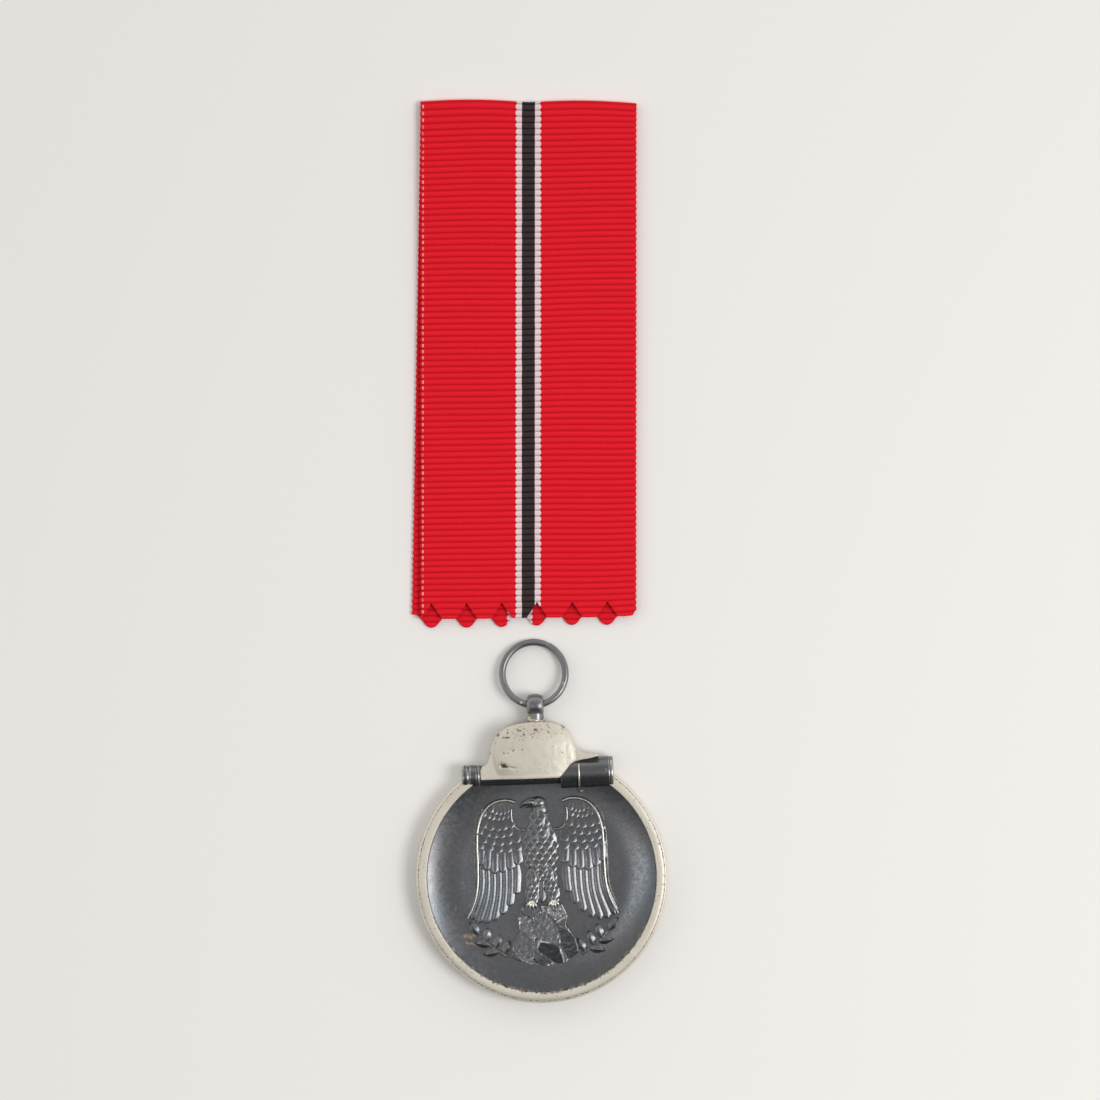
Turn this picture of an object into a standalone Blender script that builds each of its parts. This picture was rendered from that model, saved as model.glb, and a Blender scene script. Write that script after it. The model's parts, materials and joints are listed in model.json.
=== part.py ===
"""A medal of award, lying face up: a dished disc in a plain frame, a crossbar and a helmet above it,
an eyelet with a split ring, and a folded length of ribbon laid beyond the ring. Metres, +Z up."""
import math

import bmesh
import bpy
from mathutils import Matrix, Vector

MM = 0.001

# Disc: a frame with a ledge inside, and a plate set on each side of the ledge.
DISC_R = 18.0 * MM
BAND_W = 1.6 * MM            # silvered band round the field
FRAME_T = 2.8 * MM
FRAME_CHAMFER = 0.22 * MM
LEDGE_W = 1.2 * MM
LEDGE_LOW = 1.0 * MM
LEDGE_HIGH = 1.3 * MM
FIELD_T = 0.5 * MM           # obverse plate where it is flat
FLAT_SHARE = 0.82            # share of the plate's radius that is flat, before it curves up
LIP_DROP = 0.25 * MM         # how far the plate's lip stays below the band
LIP_W = 0.25 * MM
REVERSE_RECESS = 0.35 * MM
REVERSE_DISH = 0.15 * MM
FIT_GAP = 0.05 * MM          # left between pieces that are pressed or soldered together

# Crossbar: a rod between an end cap and a thicker barrel, all flattened towards the back.
BAR_INSET = 3.2 * MM         # bar's axis below the top of the disc's circle
BAR_HALF = 10.85 * MM
UNDER_BAR = 0.4 * MM         # how far the disc goes on behind the bar, past the bar's axis
BAR_FLATTEN = 0.84
ROD_R = 1.5 * MM
CAP_R = 1.6 * MM
CAP_LEN = 2.6 * MM
CAP_ROUND = 0.55 * MM
BARREL_R = 2.2 * MM
BARREL_LEN = 7.6 * MM
BARREL_EDGE = 0.3 * MM
SPIGOT_R = 0.7 * MM
SPIGOT_LEN = 1.5 * MM
STRAP_R = 0.19 * MM
STRAP_FROM_END = 4.95 * MM   # strap's place, measured from the barrel's outer end
STRAP_FOOT = 0.6 * MM

# Helmet: a domed cover over the bar, with a brim.
HELMET_SKIN = 0.78 * MM      # metal in front of the barrel at the dome's highest place
HELMET_BACK = 0.5 * MM
HELMET_RISE = 7.5 * MM       # crown above the bar's axis
DOME_WIDTH = 11.5 * MM
DOME_PAST_CROWN = 2.0 * MM
DOME_DEPTH = 2.9 * MM
DOME_SHIFT = 0.7 * MM        # dome's middle towards the neck

# Eyelet and split ring.
RING_OUT_R = 5.0 * MM
WIRE_R = 0.475 * MM
RING_SLIT = 0.12 * MM
SLIT_ANGLE = math.radians(64)
EYELET_CLEAR = 0.2 * MM      # room round the wire in the eyelet, beyond what its curve needs
EYELET_WALL = 0.8 * MM
EYELET_W = 2.4 * MM
EYELET_ROUND = 0.55 * MM
EYELET_RISE = 2.35 * MM      # eyelet's hole above the helmet's crown
STEM_R = 0.75 * MM
STEM_DEPTH = 1.4 * MM
FLOOR_CLEAR = 0.02 * MM

# Ribbon: one length folded in two, with pinked ends.
RIBBON_W = 30.8 * MM
RIBBON_T = 0.36 * MM
LEAF_L = 73.3 * MM           # fold to the pinked edge of the upper leaf
LOWER_EXTRA = 1.6 * MM
LEAF_GAP = 0.3 * MM
FOLD_TO_RING = 76.6 * MM     # fold's line beyond the far side of the ring
RIBBON_SHIFT = 2.35 * MM
CREASE_TURN = math.radians(-2.7)
LEAF_SLANT = math.radians(0.95)   # between the two leaves, because the crease isn't square
PINK_PITCH = 5.05 * MM
PINK_DEPTH = 1.9 * MM
PINK_START = 1.5 * MM
PINK_TIP = 0.02 * MM

# Artwork. It is drawn to this height, and scaled to the room between the barrel and the band.
DRAWN_ROOM = 29.0
DRAWN_FLOOR = -16.4
RELIEF_T = 0.95 * MM
ROCK_T = 0.85 * MM
LEAF_T = 0.45 * MM
PERCH_GAP = 0.06 * MM

ROUND = 96                   # segments of the disc
SMALL_ROUND = 32

# Places that follow from the sizes, from the centre of the disc.
FIELD_R = DISC_R - BAND_W
PLATE_R = FIELD_R - FIT_GAP
FIELD_Z = LEDGE_HIGH + FIT_GAP + FIELD_T
BAR_Y = DISC_R - BAR_INSET
BAR_Z = BARREL_R * BAR_FLATTEN
BAR_PLACE = (BAR_Y, BAR_Z)
CROWN_Y = BAR_Y + HELMET_RISE
DOME_TOP = BAR_Z + BARREL_R * BAR_FLATTEN + FIT_GAP + HELMET_SKIN
WIRE_MEAN_R = RING_OUT_R - WIRE_R
EYELET_SAG = WIRE_MEAN_R - math.sqrt(WIRE_MEAN_R ** 2 - (EYELET_W / 2) ** 2)
EYELET_BORE = WIRE_R + EYELET_SAG + EYELET_CLEAR
EYELET_R = EYELET_BORE + EYELET_WALL
EYELET_Y = CROWN_Y + EYELET_RISE
EYELET_Z = EYELET_R + FIT_GAP
RING_TILT = math.asin((EYELET_Z - WIRE_R - FLOOR_CLEAR) / (2 * WIRE_MEAN_R))
FOLD_Y = EYELET_Y + WIRE_MEAN_R + RING_OUT_R + FOLD_TO_RING
FOLD_Z = RIBBON_T + LEAF_GAP / 2
ART = (FIELD_R + BAR_Y - BARREL_R) / DRAWN_ROOM
# The crease is turned a little, so one of its ends is the furthest point from the disc.
FAR_Y = FOLD_Y + RIBBON_W / 2 * math.sin(abs(CREASE_TURN)) + FOLD_Z * math.cos(CREASE_TURN)
DISC_Y = -(FAR_Y - DISC_R) / 2

# A section drawn in X and Y, and drawn out along Z, is stood up: its X and Y become Y and Z.
SECTION_TO_X = Matrix(((0, 0, 1, 0), (1, 0, 0, 0), (0, 1, 0, 0), (0, 0, 0, 1)))


def clear_scene():
    for old in list(bpy.data.objects):
        bpy.data.objects.remove(old, do_unlink=True)


def collection(name):
    made = bpy.data.collections.new(name)
    bpy.context.scene.collection.children.link(made)
    return made


def metal(name, colour, roughness, metallic=1.0):
    made = bpy.data.materials.new(name)
    made.use_nodes = True
    shader = made.node_tree.nodes["Principled BSDF"]
    shader.inputs["Base Color"].default_value = (*colour, 1.0)
    shader.inputs["Roughness"].default_value = roughness
    shader.inputs["Metallic"].default_value = metallic
    return made


def new_object(name, mesh, material, parent, group=None):
    made = bpy.data.objects.new(name, mesh)
    (group or PARTS).objects.link(made)
    made.parent = parent
    if material:
        mesh.materials.clear()
        mesh.materials.append(material)
    return made


def mesh_of(bm, name):
    mesh = bpy.data.meshes.new(name)
    bm.to_mesh(mesh)
    bm.free()
    return mesh


def smooth(made, angle=math.radians(35)):
    made.data.shade_smooth()
    made.data.set_sharp_from_angle(angle=angle)


def helper(name, mesh, parent):
    """A cutter or a piece to join on: it takes part in Booleans and isn't a part itself."""
    made = new_object(name, mesh, None, parent, CUTTERS)
    made.hide_render = True
    made.display_type = "WIRE"
    return made


def boolean(target, other, operation):
    step = target.modifiers.new(f"{operation.lower()} {other.name}", "BOOLEAN")
    step.operation = operation
    step.object = other


def turned(name, profile, material=None, steps=ROUND):
    """A profile of (radius, height) turned about Z. It runs down the outer side, top to bottom."""
    bm = bmesh.new()
    points = [bm.verts.new((r, 0.0, z)) for r, z in profile]
    for a, b in zip(points, points[1:]):
        bm.edges.new((a, b))
    if profile[0][0] > 0:
        bm.edges.new((points[-1], points[0]))
    mesh = mesh_of(bm, name)
    made = new_object(name, mesh, material, MEDAL) if material else helper(name, mesh, MEDAL)
    screw = made.modifiers.new("turn", "SCREW")
    screw.axis = "Z"
    screw.steps = screw.render_steps = steps
    screw.use_merge_vertices = True
    screw.merge_threshold = 1e-6
    return made


def outline_mesh(name, points, low, high):
    """A closed outline in X and Y made a plate from low to high: a filled 2D curve, then a mesh."""
    curve = bpy.data.curves.new(name, "CURVE")
    curve.dimensions = "2D"
    curve.fill_mode = "BOTH"
    curve.extrude = (high - low) / 2
    spline = curve.splines.new("POLY")
    spline.points.add(len(points) - 1)
    for knot, (x, y) in zip(spline.points, points):
        knot.co = (x, y, 0.0, 1.0)
    spline.use_cyclic_u = True
    return mesh_from_curve(curve, Matrix.Translation((0, 0, (low + high) / 2)))


def mesh_from_curve(curve, place=None):
    drawn = bpy.data.objects.new(curve.name, curve)
    bpy.context.scene.collection.objects.link(drawn)
    bpy.context.view_layer.update()
    graph = bpy.context.evaluated_depsgraph_get()
    mesh = bpy.data.meshes.new_from_object(drawn.evaluated_get(graph))
    bpy.data.objects.remove(drawn)
    bm = bmesh.new()
    bm.from_mesh(mesh)
    bmesh.ops.remove_doubles(bm, verts=bm.verts, dist=1e-7)
    bmesh.ops.recalc_face_normals(bm, faces=bm.faces)
    if place:
        bm.transform(place)
    bm.to_mesh(mesh)
    bm.free()
    return mesh


def box_mesh(name, low, high):
    low, high = Vector(low), Vector(high)
    bm = bmesh.new()
    bmesh.ops.create_cube(bm, size=1.0)
    bmesh.ops.scale(bm, vec=high - low, verts=bm.verts)
    bmesh.ops.translate(bm, vec=(low + high) / 2, verts=bm.verts)
    return mesh_of(bm, name)


def rounded_profile(x0, x1, radius, round_low=0.0, round_high=0.0):
    """Profile of a solid round bar from height x1 down to x0, with its ends rounded."""
    points = [(0.0, x1)]
    for end, size, order in ((x1, round_high, 1), (x0, round_low, -1)):
        arc = [math.radians(90) * k / 3 for k in range(4)] if size else [math.radians(90)]
        arc = [(radius - size * (1 - math.sin(a)), end - order * size * (1 - math.cos(a))) for a in arc]
        points += arc[::order]
    return points + [(0.0, x0)]


def turned_bar(name, profile, place, material=None, flatten=1.0):
    """A turned piece laid along X. Its profile's heights are places along X."""
    bar = turned(name, profile, material, SMALL_ROUND)
    bar.location = (0.0, *place)
    bar.rotation_euler = (0.0, math.radians(90), 0.0)
    bar.scale = (flatten, 1.0, 1.0)
    return bar


def smooth_outline(points, per_span=4):
    """A closed outline through the points, rounded between them by a Catmull-Rom curve."""
    drawn = []
    count = len(points)
    for i in range(count):
        a, b, c, d = (Vector(points[(i + k) % count]) for k in (-1, 0, 1, 2))
        for step in range(per_span):
            t = step / per_span
            drawn.append(
                0.5 * (2 * b + (c - a) * t + (2 * a - 5 * b + 4 * c - d) * t * t
                       + (3 * b - a - 3 * c + d) * t ** 3)
            )
    return [(p.x, p.y) for p in drawn]


def on_field(points):
    """Drawn points brought to the field, with the drawing's foot at the band's lowest point."""
    return [(x * ART, (y - DRAWN_FLOOR) * ART - FIELD_R) for x, y in points]


def bar_cutters():
    """The room for the crossbar in the pieces that are coped or hollowed to it."""
    rod_end = BAR_HALF - BARREL_LEN
    slim = rounded_profile(-BAR_HALF - FIT_GAP, rod_end + FIT_GAP, CAP_R + FIT_GAP)
    thick = rounded_profile(rod_end - FIT_GAP, BAR_HALF + FIT_GAP, BARREL_R + FIT_GAP)
    return (
        turned_bar("cap_and_rod_room", slim, BAR_PLACE, flatten=BAR_FLATTEN),
        turned_bar("barrel_room", thick, BAR_PLACE, flatten=BAR_FLATTEN),
    )


def cope_to_bar(piece, cutters, above):
    boolean(piece, above, "DIFFERENCE")
    for cutter in cutters:
        boolean(piece, cutter, "DIFFERENCE")


def make_disc():
    """The frame and its two plates, all coped round the crossbar and open above it."""
    cutters = bar_cutters()
    low, high = (-2 * DISC_R, BAR_Y + UNDER_BAR, -FRAME_T), (2 * DISC_R, 2 * DISC_R, 3 * FRAME_T)
    above = helper("above_bar", box_mesh("above_bar", low, high), MEDAL)
    c = FRAME_CHAMFER
    ledge_r = FIELD_R - LEDGE_W
    frame_profile = [
        (FIELD_R + c / 2, FRAME_T), (DISC_R - c, FRAME_T), (DISC_R, FRAME_T - c), (DISC_R, c),
        (DISC_R - c, 0.0), (FIELD_R, 0.0), (FIELD_R, LEDGE_LOW), (ledge_r, LEDGE_LOW),
        (ledge_r, LEDGE_HIGH), (FIELD_R, LEDGE_HIGH), (FIELD_R, FRAME_T - c / 2),
    ]
    frame = turned("rim_frame", frame_profile, SILVER)

    flat_r = PLATE_R * FLAT_SHARE
    lip_z = FRAME_T - LIP_DROP
    low = LEDGE_HIGH + FIT_GAP
    curl = [
        (flat_r + (PLATE_R - LIP_W - flat_r) * t, FIELD_Z + (lip_z - FIELD_Z) * t ** 3)
        for t in (0.0, 0.3, 0.5, 0.68, 0.84, 1.0)
    ]
    obverse_profile = [(0.0, FIELD_Z)] + curl + [(PLATE_R, lip_z), (PLATE_R, low), (0.0, low)]
    obverse = turned("obverse_plate", obverse_profile, DARK)

    high = LEDGE_LOW - FIT_GAP
    back = REVERSE_RECESS
    dish_r = PLATE_R * 0.9
    reverse_profile = [
        (0.0, high), (PLATE_R, high), (PLATE_R, back), (dish_r, back),
        (dish_r - 2 * REVERSE_DISH, back + REVERSE_DISH), (0.0, back + REVERSE_DISH),
    ]
    reverse = turned("reverse_plate", reverse_profile, DARK)
    for piece in (frame, obverse, reverse):
        cope_to_bar(piece, cutters, above)


def make_crossbar():
    """Cap, rod and barrel on one axis. The rod's spigots go into bores in the other two."""
    cap_end, rod_end = -BAR_HALF + CAP_LEN, BAR_HALF - BARREL_LEN
    profiles = {
        "crossbar_cap": rounded_profile(-BAR_HALF, cap_end, CAP_R, round_low=CAP_ROUND),
        "crossbar_rod": rounded_profile(cap_end + FIT_GAP, rod_end - FIT_GAP, ROD_R),
        "crossbar_barrel": rounded_profile(rod_end, BAR_HALF, BARREL_R, BARREL_EDGE, BARREL_EDGE),
    }
    cap, rod, barrel = (
        turned_bar(name, profile, BAR_PLACE, DARK, BAR_FLATTEN) for name, profile in profiles.items()
    )
    spigots = rounded_profile(cap_end - SPIGOT_LEN, rod_end + SPIGOT_LEN, SPIGOT_R)
    boolean(rod, turned_bar("spigots", spigots, BAR_PLACE), "UNION")
    reach = SPIGOT_LEN + FIT_GAP
    for piece, x0, x1 in (
        (cap, cap_end - reach, cap_end + reach), (barrel, rod_end - reach, rod_end + reach),
    ):
        bore = rounded_profile(x0, x1, SPIGOT_R + FIT_GAP)
        boolean(piece, turned_bar(f"{piece.name}_bore", bore, BAR_PLACE), "DIFFERENCE")


def make_strap():
    """A wire strap bent over the front of the barrel, with its foot turned on the field."""
    x = BAR_HALF - STRAP_FROM_END
    off = STRAP_R + FIT_GAP
    ry, rz = BARREL_R + off, BARREL_R * BAR_FLATTEN + off
    points = []
    for degrees in range(62, 166, 8):
        a = math.radians(degrees)
        points.append((x, BAR_Y + ry * math.cos(a), BAR_Z + rz * math.sin(a)))
    foot_z = FIELD_Z + off
    foot_y = BAR_Y - ry - 1.5 * STRAP_R
    points.append((x, foot_y, foot_z + STRAP_R))
    points.append((x + STRAP_R, foot_y - STRAP_R, foot_z))
    points.append((x + STRAP_FOOT, foot_y - STRAP_R / 2, foot_z))
    mesh = tube_mesh("barrel_strap", points, STRAP_R, 2)
    smooth(new_object("barrel_strap", mesh, DARK, MEDAL))


def tube_mesh(name, points, radius, resolution):
    curve = bpy.data.curves.new(name, "CURVE")
    curve.dimensions = "3D"
    curve.bevel_depth = radius
    curve.bevel_resolution = resolution
    curve.use_fill_caps = True
    spline = curve.splines.new("POLY")
    spline.points.add(len(points) - 1)
    for knot, place in zip(spline.points, points):
        knot.co = (*place, 1.0)
    return mesh_from_curve(curve)


def helmet_outline():
    """Side view of the helmet, in millimetres from the bar's axis, clockwise from the neck's brim."""
    neck = [(-8.15, -0.5), (-8.1, 1.0), (-7.2, 1.7), (-6.7, 3.2), (-6.35, 4.6), (-5.6, 5.9)]
    crown = [(-4.2, 6.85), (-2.0, 7.4), (0.4, 7.5), (2.4, 7.3), (4.0, 6.6), (5.0, 5.2)]
    visor = [(5.5, 3.8), (6.3, 2.95), (7.6, 2.6), (8.9, 2.45), (7.6, 2.05), (6.2, 1.85)]
    front = [(4.9, 1.4), (4.0, 0.4), (3.1, -0.55)]
    rise = HELMET_RISE / (7.5 * MM)
    return [(x * MM, BAR_Y + y * MM * rise) for x, y in neck + crown + visor + front]


def bar_channel(name, x0, x1, radius):
    """A channel over the bar that is open behind: half round in front, with straight sides."""
    front = [math.pi * k / 16 for k in range(17)]
    section = [
        (BAR_Y + radius * math.cos(a), BAR_Z + radius * BAR_FLATTEN * math.sin(a)) for a in front
    ] + [(BAR_Y - radius, -MM), (BAR_Y + radius, -MM)]
    mesh = outline_mesh(name, section, x0, x1)
    mesh.transform(SECTION_TO_X)
    return helper(name, mesh, MEDAL)


def make_helmet():
    """An outline plate kept inside a flat dome, hollowed behind for the crossbar."""
    mesh = outline_mesh("helmet", helmet_outline(), HELMET_BACK, DOME_TOP + MM)
    helmet = new_object("helmet", mesh, SILVER, MEDAL)
    bm = bmesh.new()
    bmesh.ops.create_uvsphere(bm, u_segments=64, v_segments=32, radius=1.0)
    size = (DOME_WIDTH, HELMET_RISE + DOME_PAST_CROWN, DOME_DEPTH)
    bmesh.ops.scale(bm, vec=size, verts=bm.verts)
    bmesh.ops.translate(bm, vec=(-DOME_SHIFT, BAR_Y + DOME_SHIFT / 2, DOME_TOP - DOME_DEPTH), verts=bm.verts)
    boolean(helmet, helper("dome", mesh_of(bm, "dome"), MEDAL), "INTERSECT")
    rod_end = BAR_HALF - BARREL_LEN
    slim = bar_channel("slim_channel", -2 * BAR_HALF, rod_end + FIT_GAP, CAP_R + FIT_GAP)
    thick = bar_channel("barrel_channel", rod_end - FIT_GAP, 2 * BAR_HALF, BARREL_R + FIT_GAP)
    socket = y_round_mesh("stem_socket", CROWN_Y - STEM_DEPTH - FIT_GAP, CROWN_Y + MM, STEM_R + FIT_GAP)
    for cutter in (slim, thick, helper("stem_socket", socket, MEDAL)):
        boolean(helmet, cutter, "DIFFERENCE")


def y_round_mesh(name, y0, y1, radius):
    bm = bmesh.new()
    bmesh.ops.create_cone(
        bm, cap_ends=True, segments=SMALL_ROUND, radius1=radius, radius2=radius, depth=y1 - y0
    )
    bmesh.ops.rotate(bm, matrix=Matrix.Rotation(math.radians(90), 3, "X"), verts=bm.verts)
    bmesh.ops.translate(bm, vec=(0.0, (y0 + y1) / 2, EYELET_Z), verts=bm.verts)
    return mesh_of(bm, name)


def make_eyelet():
    """A short fat tube across the medal, on a stem that is pinned into the helmet's crown."""
    half = EYELET_W / 2
    profile = rounded_profile(-half, half, EYELET_R, EYELET_ROUND, EYELET_ROUND)
    eyelet = turned_bar("eyelet", profile, (EYELET_Y, EYELET_Z), DARK)
    stem = y_round_mesh("stem", CROWN_Y - STEM_DEPTH, EYELET_Y - EYELET_BORE - EYELET_WALL / 2, STEM_R)
    boolean(eyelet, helper("stem", stem, MEDAL), "UNION")
    hole = rounded_profile(-EYELET_W, EYELET_W, EYELET_BORE)
    boolean(eyelet, turned_bar("eyelet_hole", hole, (EYELET_Y, EYELET_Z)), "DIFFERENCE")


def make_ring():
    """A split ring hanging on the eyelet's axis, its far side down on the surface."""
    pivot = bpy.data.objects.new("ring_pivot", None)
    PARTS.objects.link(pivot)
    pivot.parent = MEDAL
    pivot.location = (0.0, EYELET_Y, EYELET_Z)
    pivot.rotation_euler = (-RING_TILT, 0.0, 0.0)
    open_angle = RING_SLIT / WIRE_MEAN_R
    steps = 72
    points = []
    for i in range(steps + 1):
        a = SLIT_ANGLE + open_angle / 2 + (2 * math.pi - open_angle) * i / steps
        points.append((WIRE_MEAN_R * math.cos(a), WIRE_MEAN_R * (1 + math.sin(a)), 0.0))
    mesh = tube_mesh("suspension_ring", points, WIRE_R, 3)
    smooth(new_object("suspension_ring", mesh, STEEL, pivot), math.radians(60))


def bird_outline():
    """A bird of prey seen from the front, wings lowered, head turned to its right. Millimetres."""
    wing = [
        (1.2, 7.9), (2.4, 6.9), (3.6, 7.6), (4.0, 9.0), (3.7, 10.5), (5.4, 11.1), (7.4, 10.4),
        (8.8, 8.2), (9.2, 5.0), (9.2, 1.0), (9.6, -2.4), (10.9, -5.5), (9.2, -6.4), (7.2, -6.3),
        (5.3, -5.2), (4.0, -3.4), (3.2, -1.2), (2.9, -3.3),
    ]
    tail = [(2.3, -3.75)]
    left = [(-x, y) for x, y in reversed(wing + tail)]
    head = [
        (-1.35, 9.3), (-1.9, 10.0), (-2.75, 10.1), (-2.5, 10.9), (-1.5, 11.6), (0.0, 11.8),
        (1.1, 11.2), (1.35, 9.7),
    ]
    return wing + tail + left + head


def rock_outline():
    """A steep crag, cut with straight facets. Millimetres."""
    return [
        (-2.9, -4.1), (-1.1, -3.95), (0.7, -4.15), (2.8, -3.95), (3.5, -5.6), (3.2, -7.0), (4.5, -8.9),
        (4.9, -10.9), (3.0, -12.3), (0.4, -12.7), (-2.3, -12.4), (-4.8, -11.3), (-4.4, -9.2),
        (-3.3, -7.8), (-3.7, -6.0),
    ]


LAUREL = {
    "stem": [(5.4, -11.2), (6.9, -10.2), (8.2, -9.1), (9.4, -7.9)],
    # leaves: place, direction in degrees, length
    "leaves": [
        (5.9, -10.9, 118, 2.3), (6.5, -10.5, -8, 2.3), (7.1, -10.0, 112, 2.3),
        (7.7, -9.5, 8, 2.3), (8.3, -9.0, 104, 2.2), (9.2, -8.0, 52, 2.4),
    ],
    "stem_r": 0.22,
    "leaf_w": 0.95,
}


def make_emblem():
    """The bird, the crag it stands on and a laurel sprig on either side, set on the field."""
    low = FIELD_Z + FIT_GAP
    bird = outline_mesh("bird_emblem", on_field(smooth_outline(bird_outline(), 3)), low, low + RELIEF_T)
    new_object("bird_emblem", bird, DARK, MEDAL)
    rock = outline_mesh("perch_rock", on_field(rock_outline()), low, low + ROCK_T)
    perch = new_object("perch_rock", rock, DARK, MEDAL)
    room = outline_mesh("bird_room", on_field(grown(smooth_outline(bird_outline(), 3))),
                        low - MM, low + RELIEF_T + MM)
    boolean(perch, helper("bird_room", room, MEDAL), "DIFFERENCE")
    for side, name in ((-1, "laurel_sprig_left"), (1, "laurel_sprig_right")):
        make_sprig(name, side, low)


def grown(points):
    """The outline moved out by the gap that keeps the crag clear of the bird's feet."""
    by = PERCH_GAP / ART
    drawn = []
    for i, p in enumerate(points):
        along = Vector(points[(i + 1) % len(points)]) - Vector(points[i - 1])
        out = Vector((along.y, -along.x)).normalized() if along.length else Vector((0, 0))
        drawn.append((p[0] - out.x * by, p[1] - out.y * by))
    return drawn


def make_sprig(name, side, low):
    stem_r = LAUREL["stem_r"] * ART
    stem = [(side * x, y, low + stem_r) for x, y in on_field(LAUREL["stem"])]
    sprig = new_object(name, tube_mesh(name, stem, stem_r, 1), DARK, MEDAL)
    for number, (x, y, degrees, length) in enumerate(LAUREL["leaves"], 1):
        half = length / 2
        leaf = [
            (half + half * math.cos(a), LAUREL["leaf_w"] / 2 * math.sin(a) * (1 - 0.35 * math.cos(a)))
            for a in (2 * math.pi * k / 14 for k in range(14))
        ]
        turn = Matrix.Rotation(math.radians(degrees), 2)
        leaf = [turn @ Vector(p) + Vector((x, y)) for p in leaf]
        leaf = [(side * px, py) for px, py in on_field(leaf)]
        mesh = outline_mesh(f"{name}_{number}", leaf, low + 0.06 * MM, low + LEAF_T)
        boolean(sprig, helper(f"{name}_{number}", mesh, MEDAL), "UNION")


def leaf_section(upper):
    """One leaf seen from its edge, with half of the fold: (distance from the fold, height)."""
    inner, outer = LEAF_GAP / 2, LEAF_GAP / 2 + RIBBON_T
    length = LEAF_L if upper else LEAF_L + LOWER_EXTRA
    points = [(-length, inner), (-length, outer)]
    for radius, order in ((outer, 1), (inner, -1)):
        end = math.acos(FIT_GAP / 2 / radius)
        arc = [(radius * math.sin(end * k / 6), radius * math.cos(end * k / 6)) for k in range(7)]
        points += arc[::order]
    side = 1 if upper else -1
    return [(y, side * z) for y, z in points]


def make_leaf(name, upper, pivot):
    """A leaf is its section drawn out along the crease, slanted, with the pinked end cut away."""
    slant = math.tan(LEAF_SLANT / 2 if upper else -LEAF_SLANT / 2)
    mesh = outline_mesh(name, leaf_section(upper), -RIBBON_W / 2, RIBBON_W / 2)
    mesh.transform(SECTION_TO_X)
    mesh.transform(Matrix(((1, -slant, 0, 0), (0, 1, 0, 0), (0, 0, 1, 0), (0, 0, 0, 1))))
    leaf = new_object(name, mesh, RED, pivot)

    tip = LEAF_L + (0.0 if upper else LOWER_EXTRA)
    half = PINK_PITCH / 2
    start = PINK_START + (0.0 if upper else half)
    count = math.ceil(RIBBON_W / PINK_PITCH) + 2
    teeth = []
    for k in range(-1, count):
        x = start + k * PINK_PITCH - RIBBON_W / 2 + slant * tip
        teeth += [(x, -tip + PINK_DEPTH), (x + half, -tip + PINK_TIP)]
    teeth += [(teeth[-1][0], -tip - MM), (teeth[0][0], -tip - MM)]
    cutter = outline_mesh(f"{name}_pinking", teeth, -2 * FOLD_Z, 2 * FOLD_Z)
    boolean(leaf, helper(f"{name}_pinking", cutter, pivot), "DIFFERENCE")


def make_ribbon():
    """Both leaves hang on one crease, which is square to neither of them."""
    crease = bpy.data.objects.new("ribbon_crease", None)
    PARTS.objects.link(crease)
    crease.parent = MEDAL
    crease.location = (RIBBON_SHIFT, FOLD_Y, FOLD_Z)
    crease.rotation_euler = (0.0, 0.0, CREASE_TURN)
    make_leaf("ribbon_lower_leaf", False, crease)
    make_leaf("ribbon_upper_leaf", True, crease)


clear_scene()
PARTS = collection("medal")
CUTTERS = collection("cutters")
SILVER = metal("frosted_silver", (0.63, 0.60, 0.53), 0.42)
DARK = metal("blackened_metal", (0.10, 0.105, 0.115), 0.34)
STEEL = metal("ring_steel", (0.16, 0.15, 0.16), 0.3)
RED = metal("ribbon_cloth", (0.62, 0.012, 0.022), 0.75, metallic=0.0)
MEDAL = bpy.data.objects.new("medal", None)
PARTS.objects.link(MEDAL)
MEDAL.location = (0.0, DISC_Y, 0.0)

make_disc()
make_crossbar()
make_strap()
make_helmet()
make_eyelet()
make_ring()
make_emblem()
make_ribbon()
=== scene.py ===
import json
import math

import bmesh
import bpy
import numpy as np
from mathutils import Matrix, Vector, noise


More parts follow.
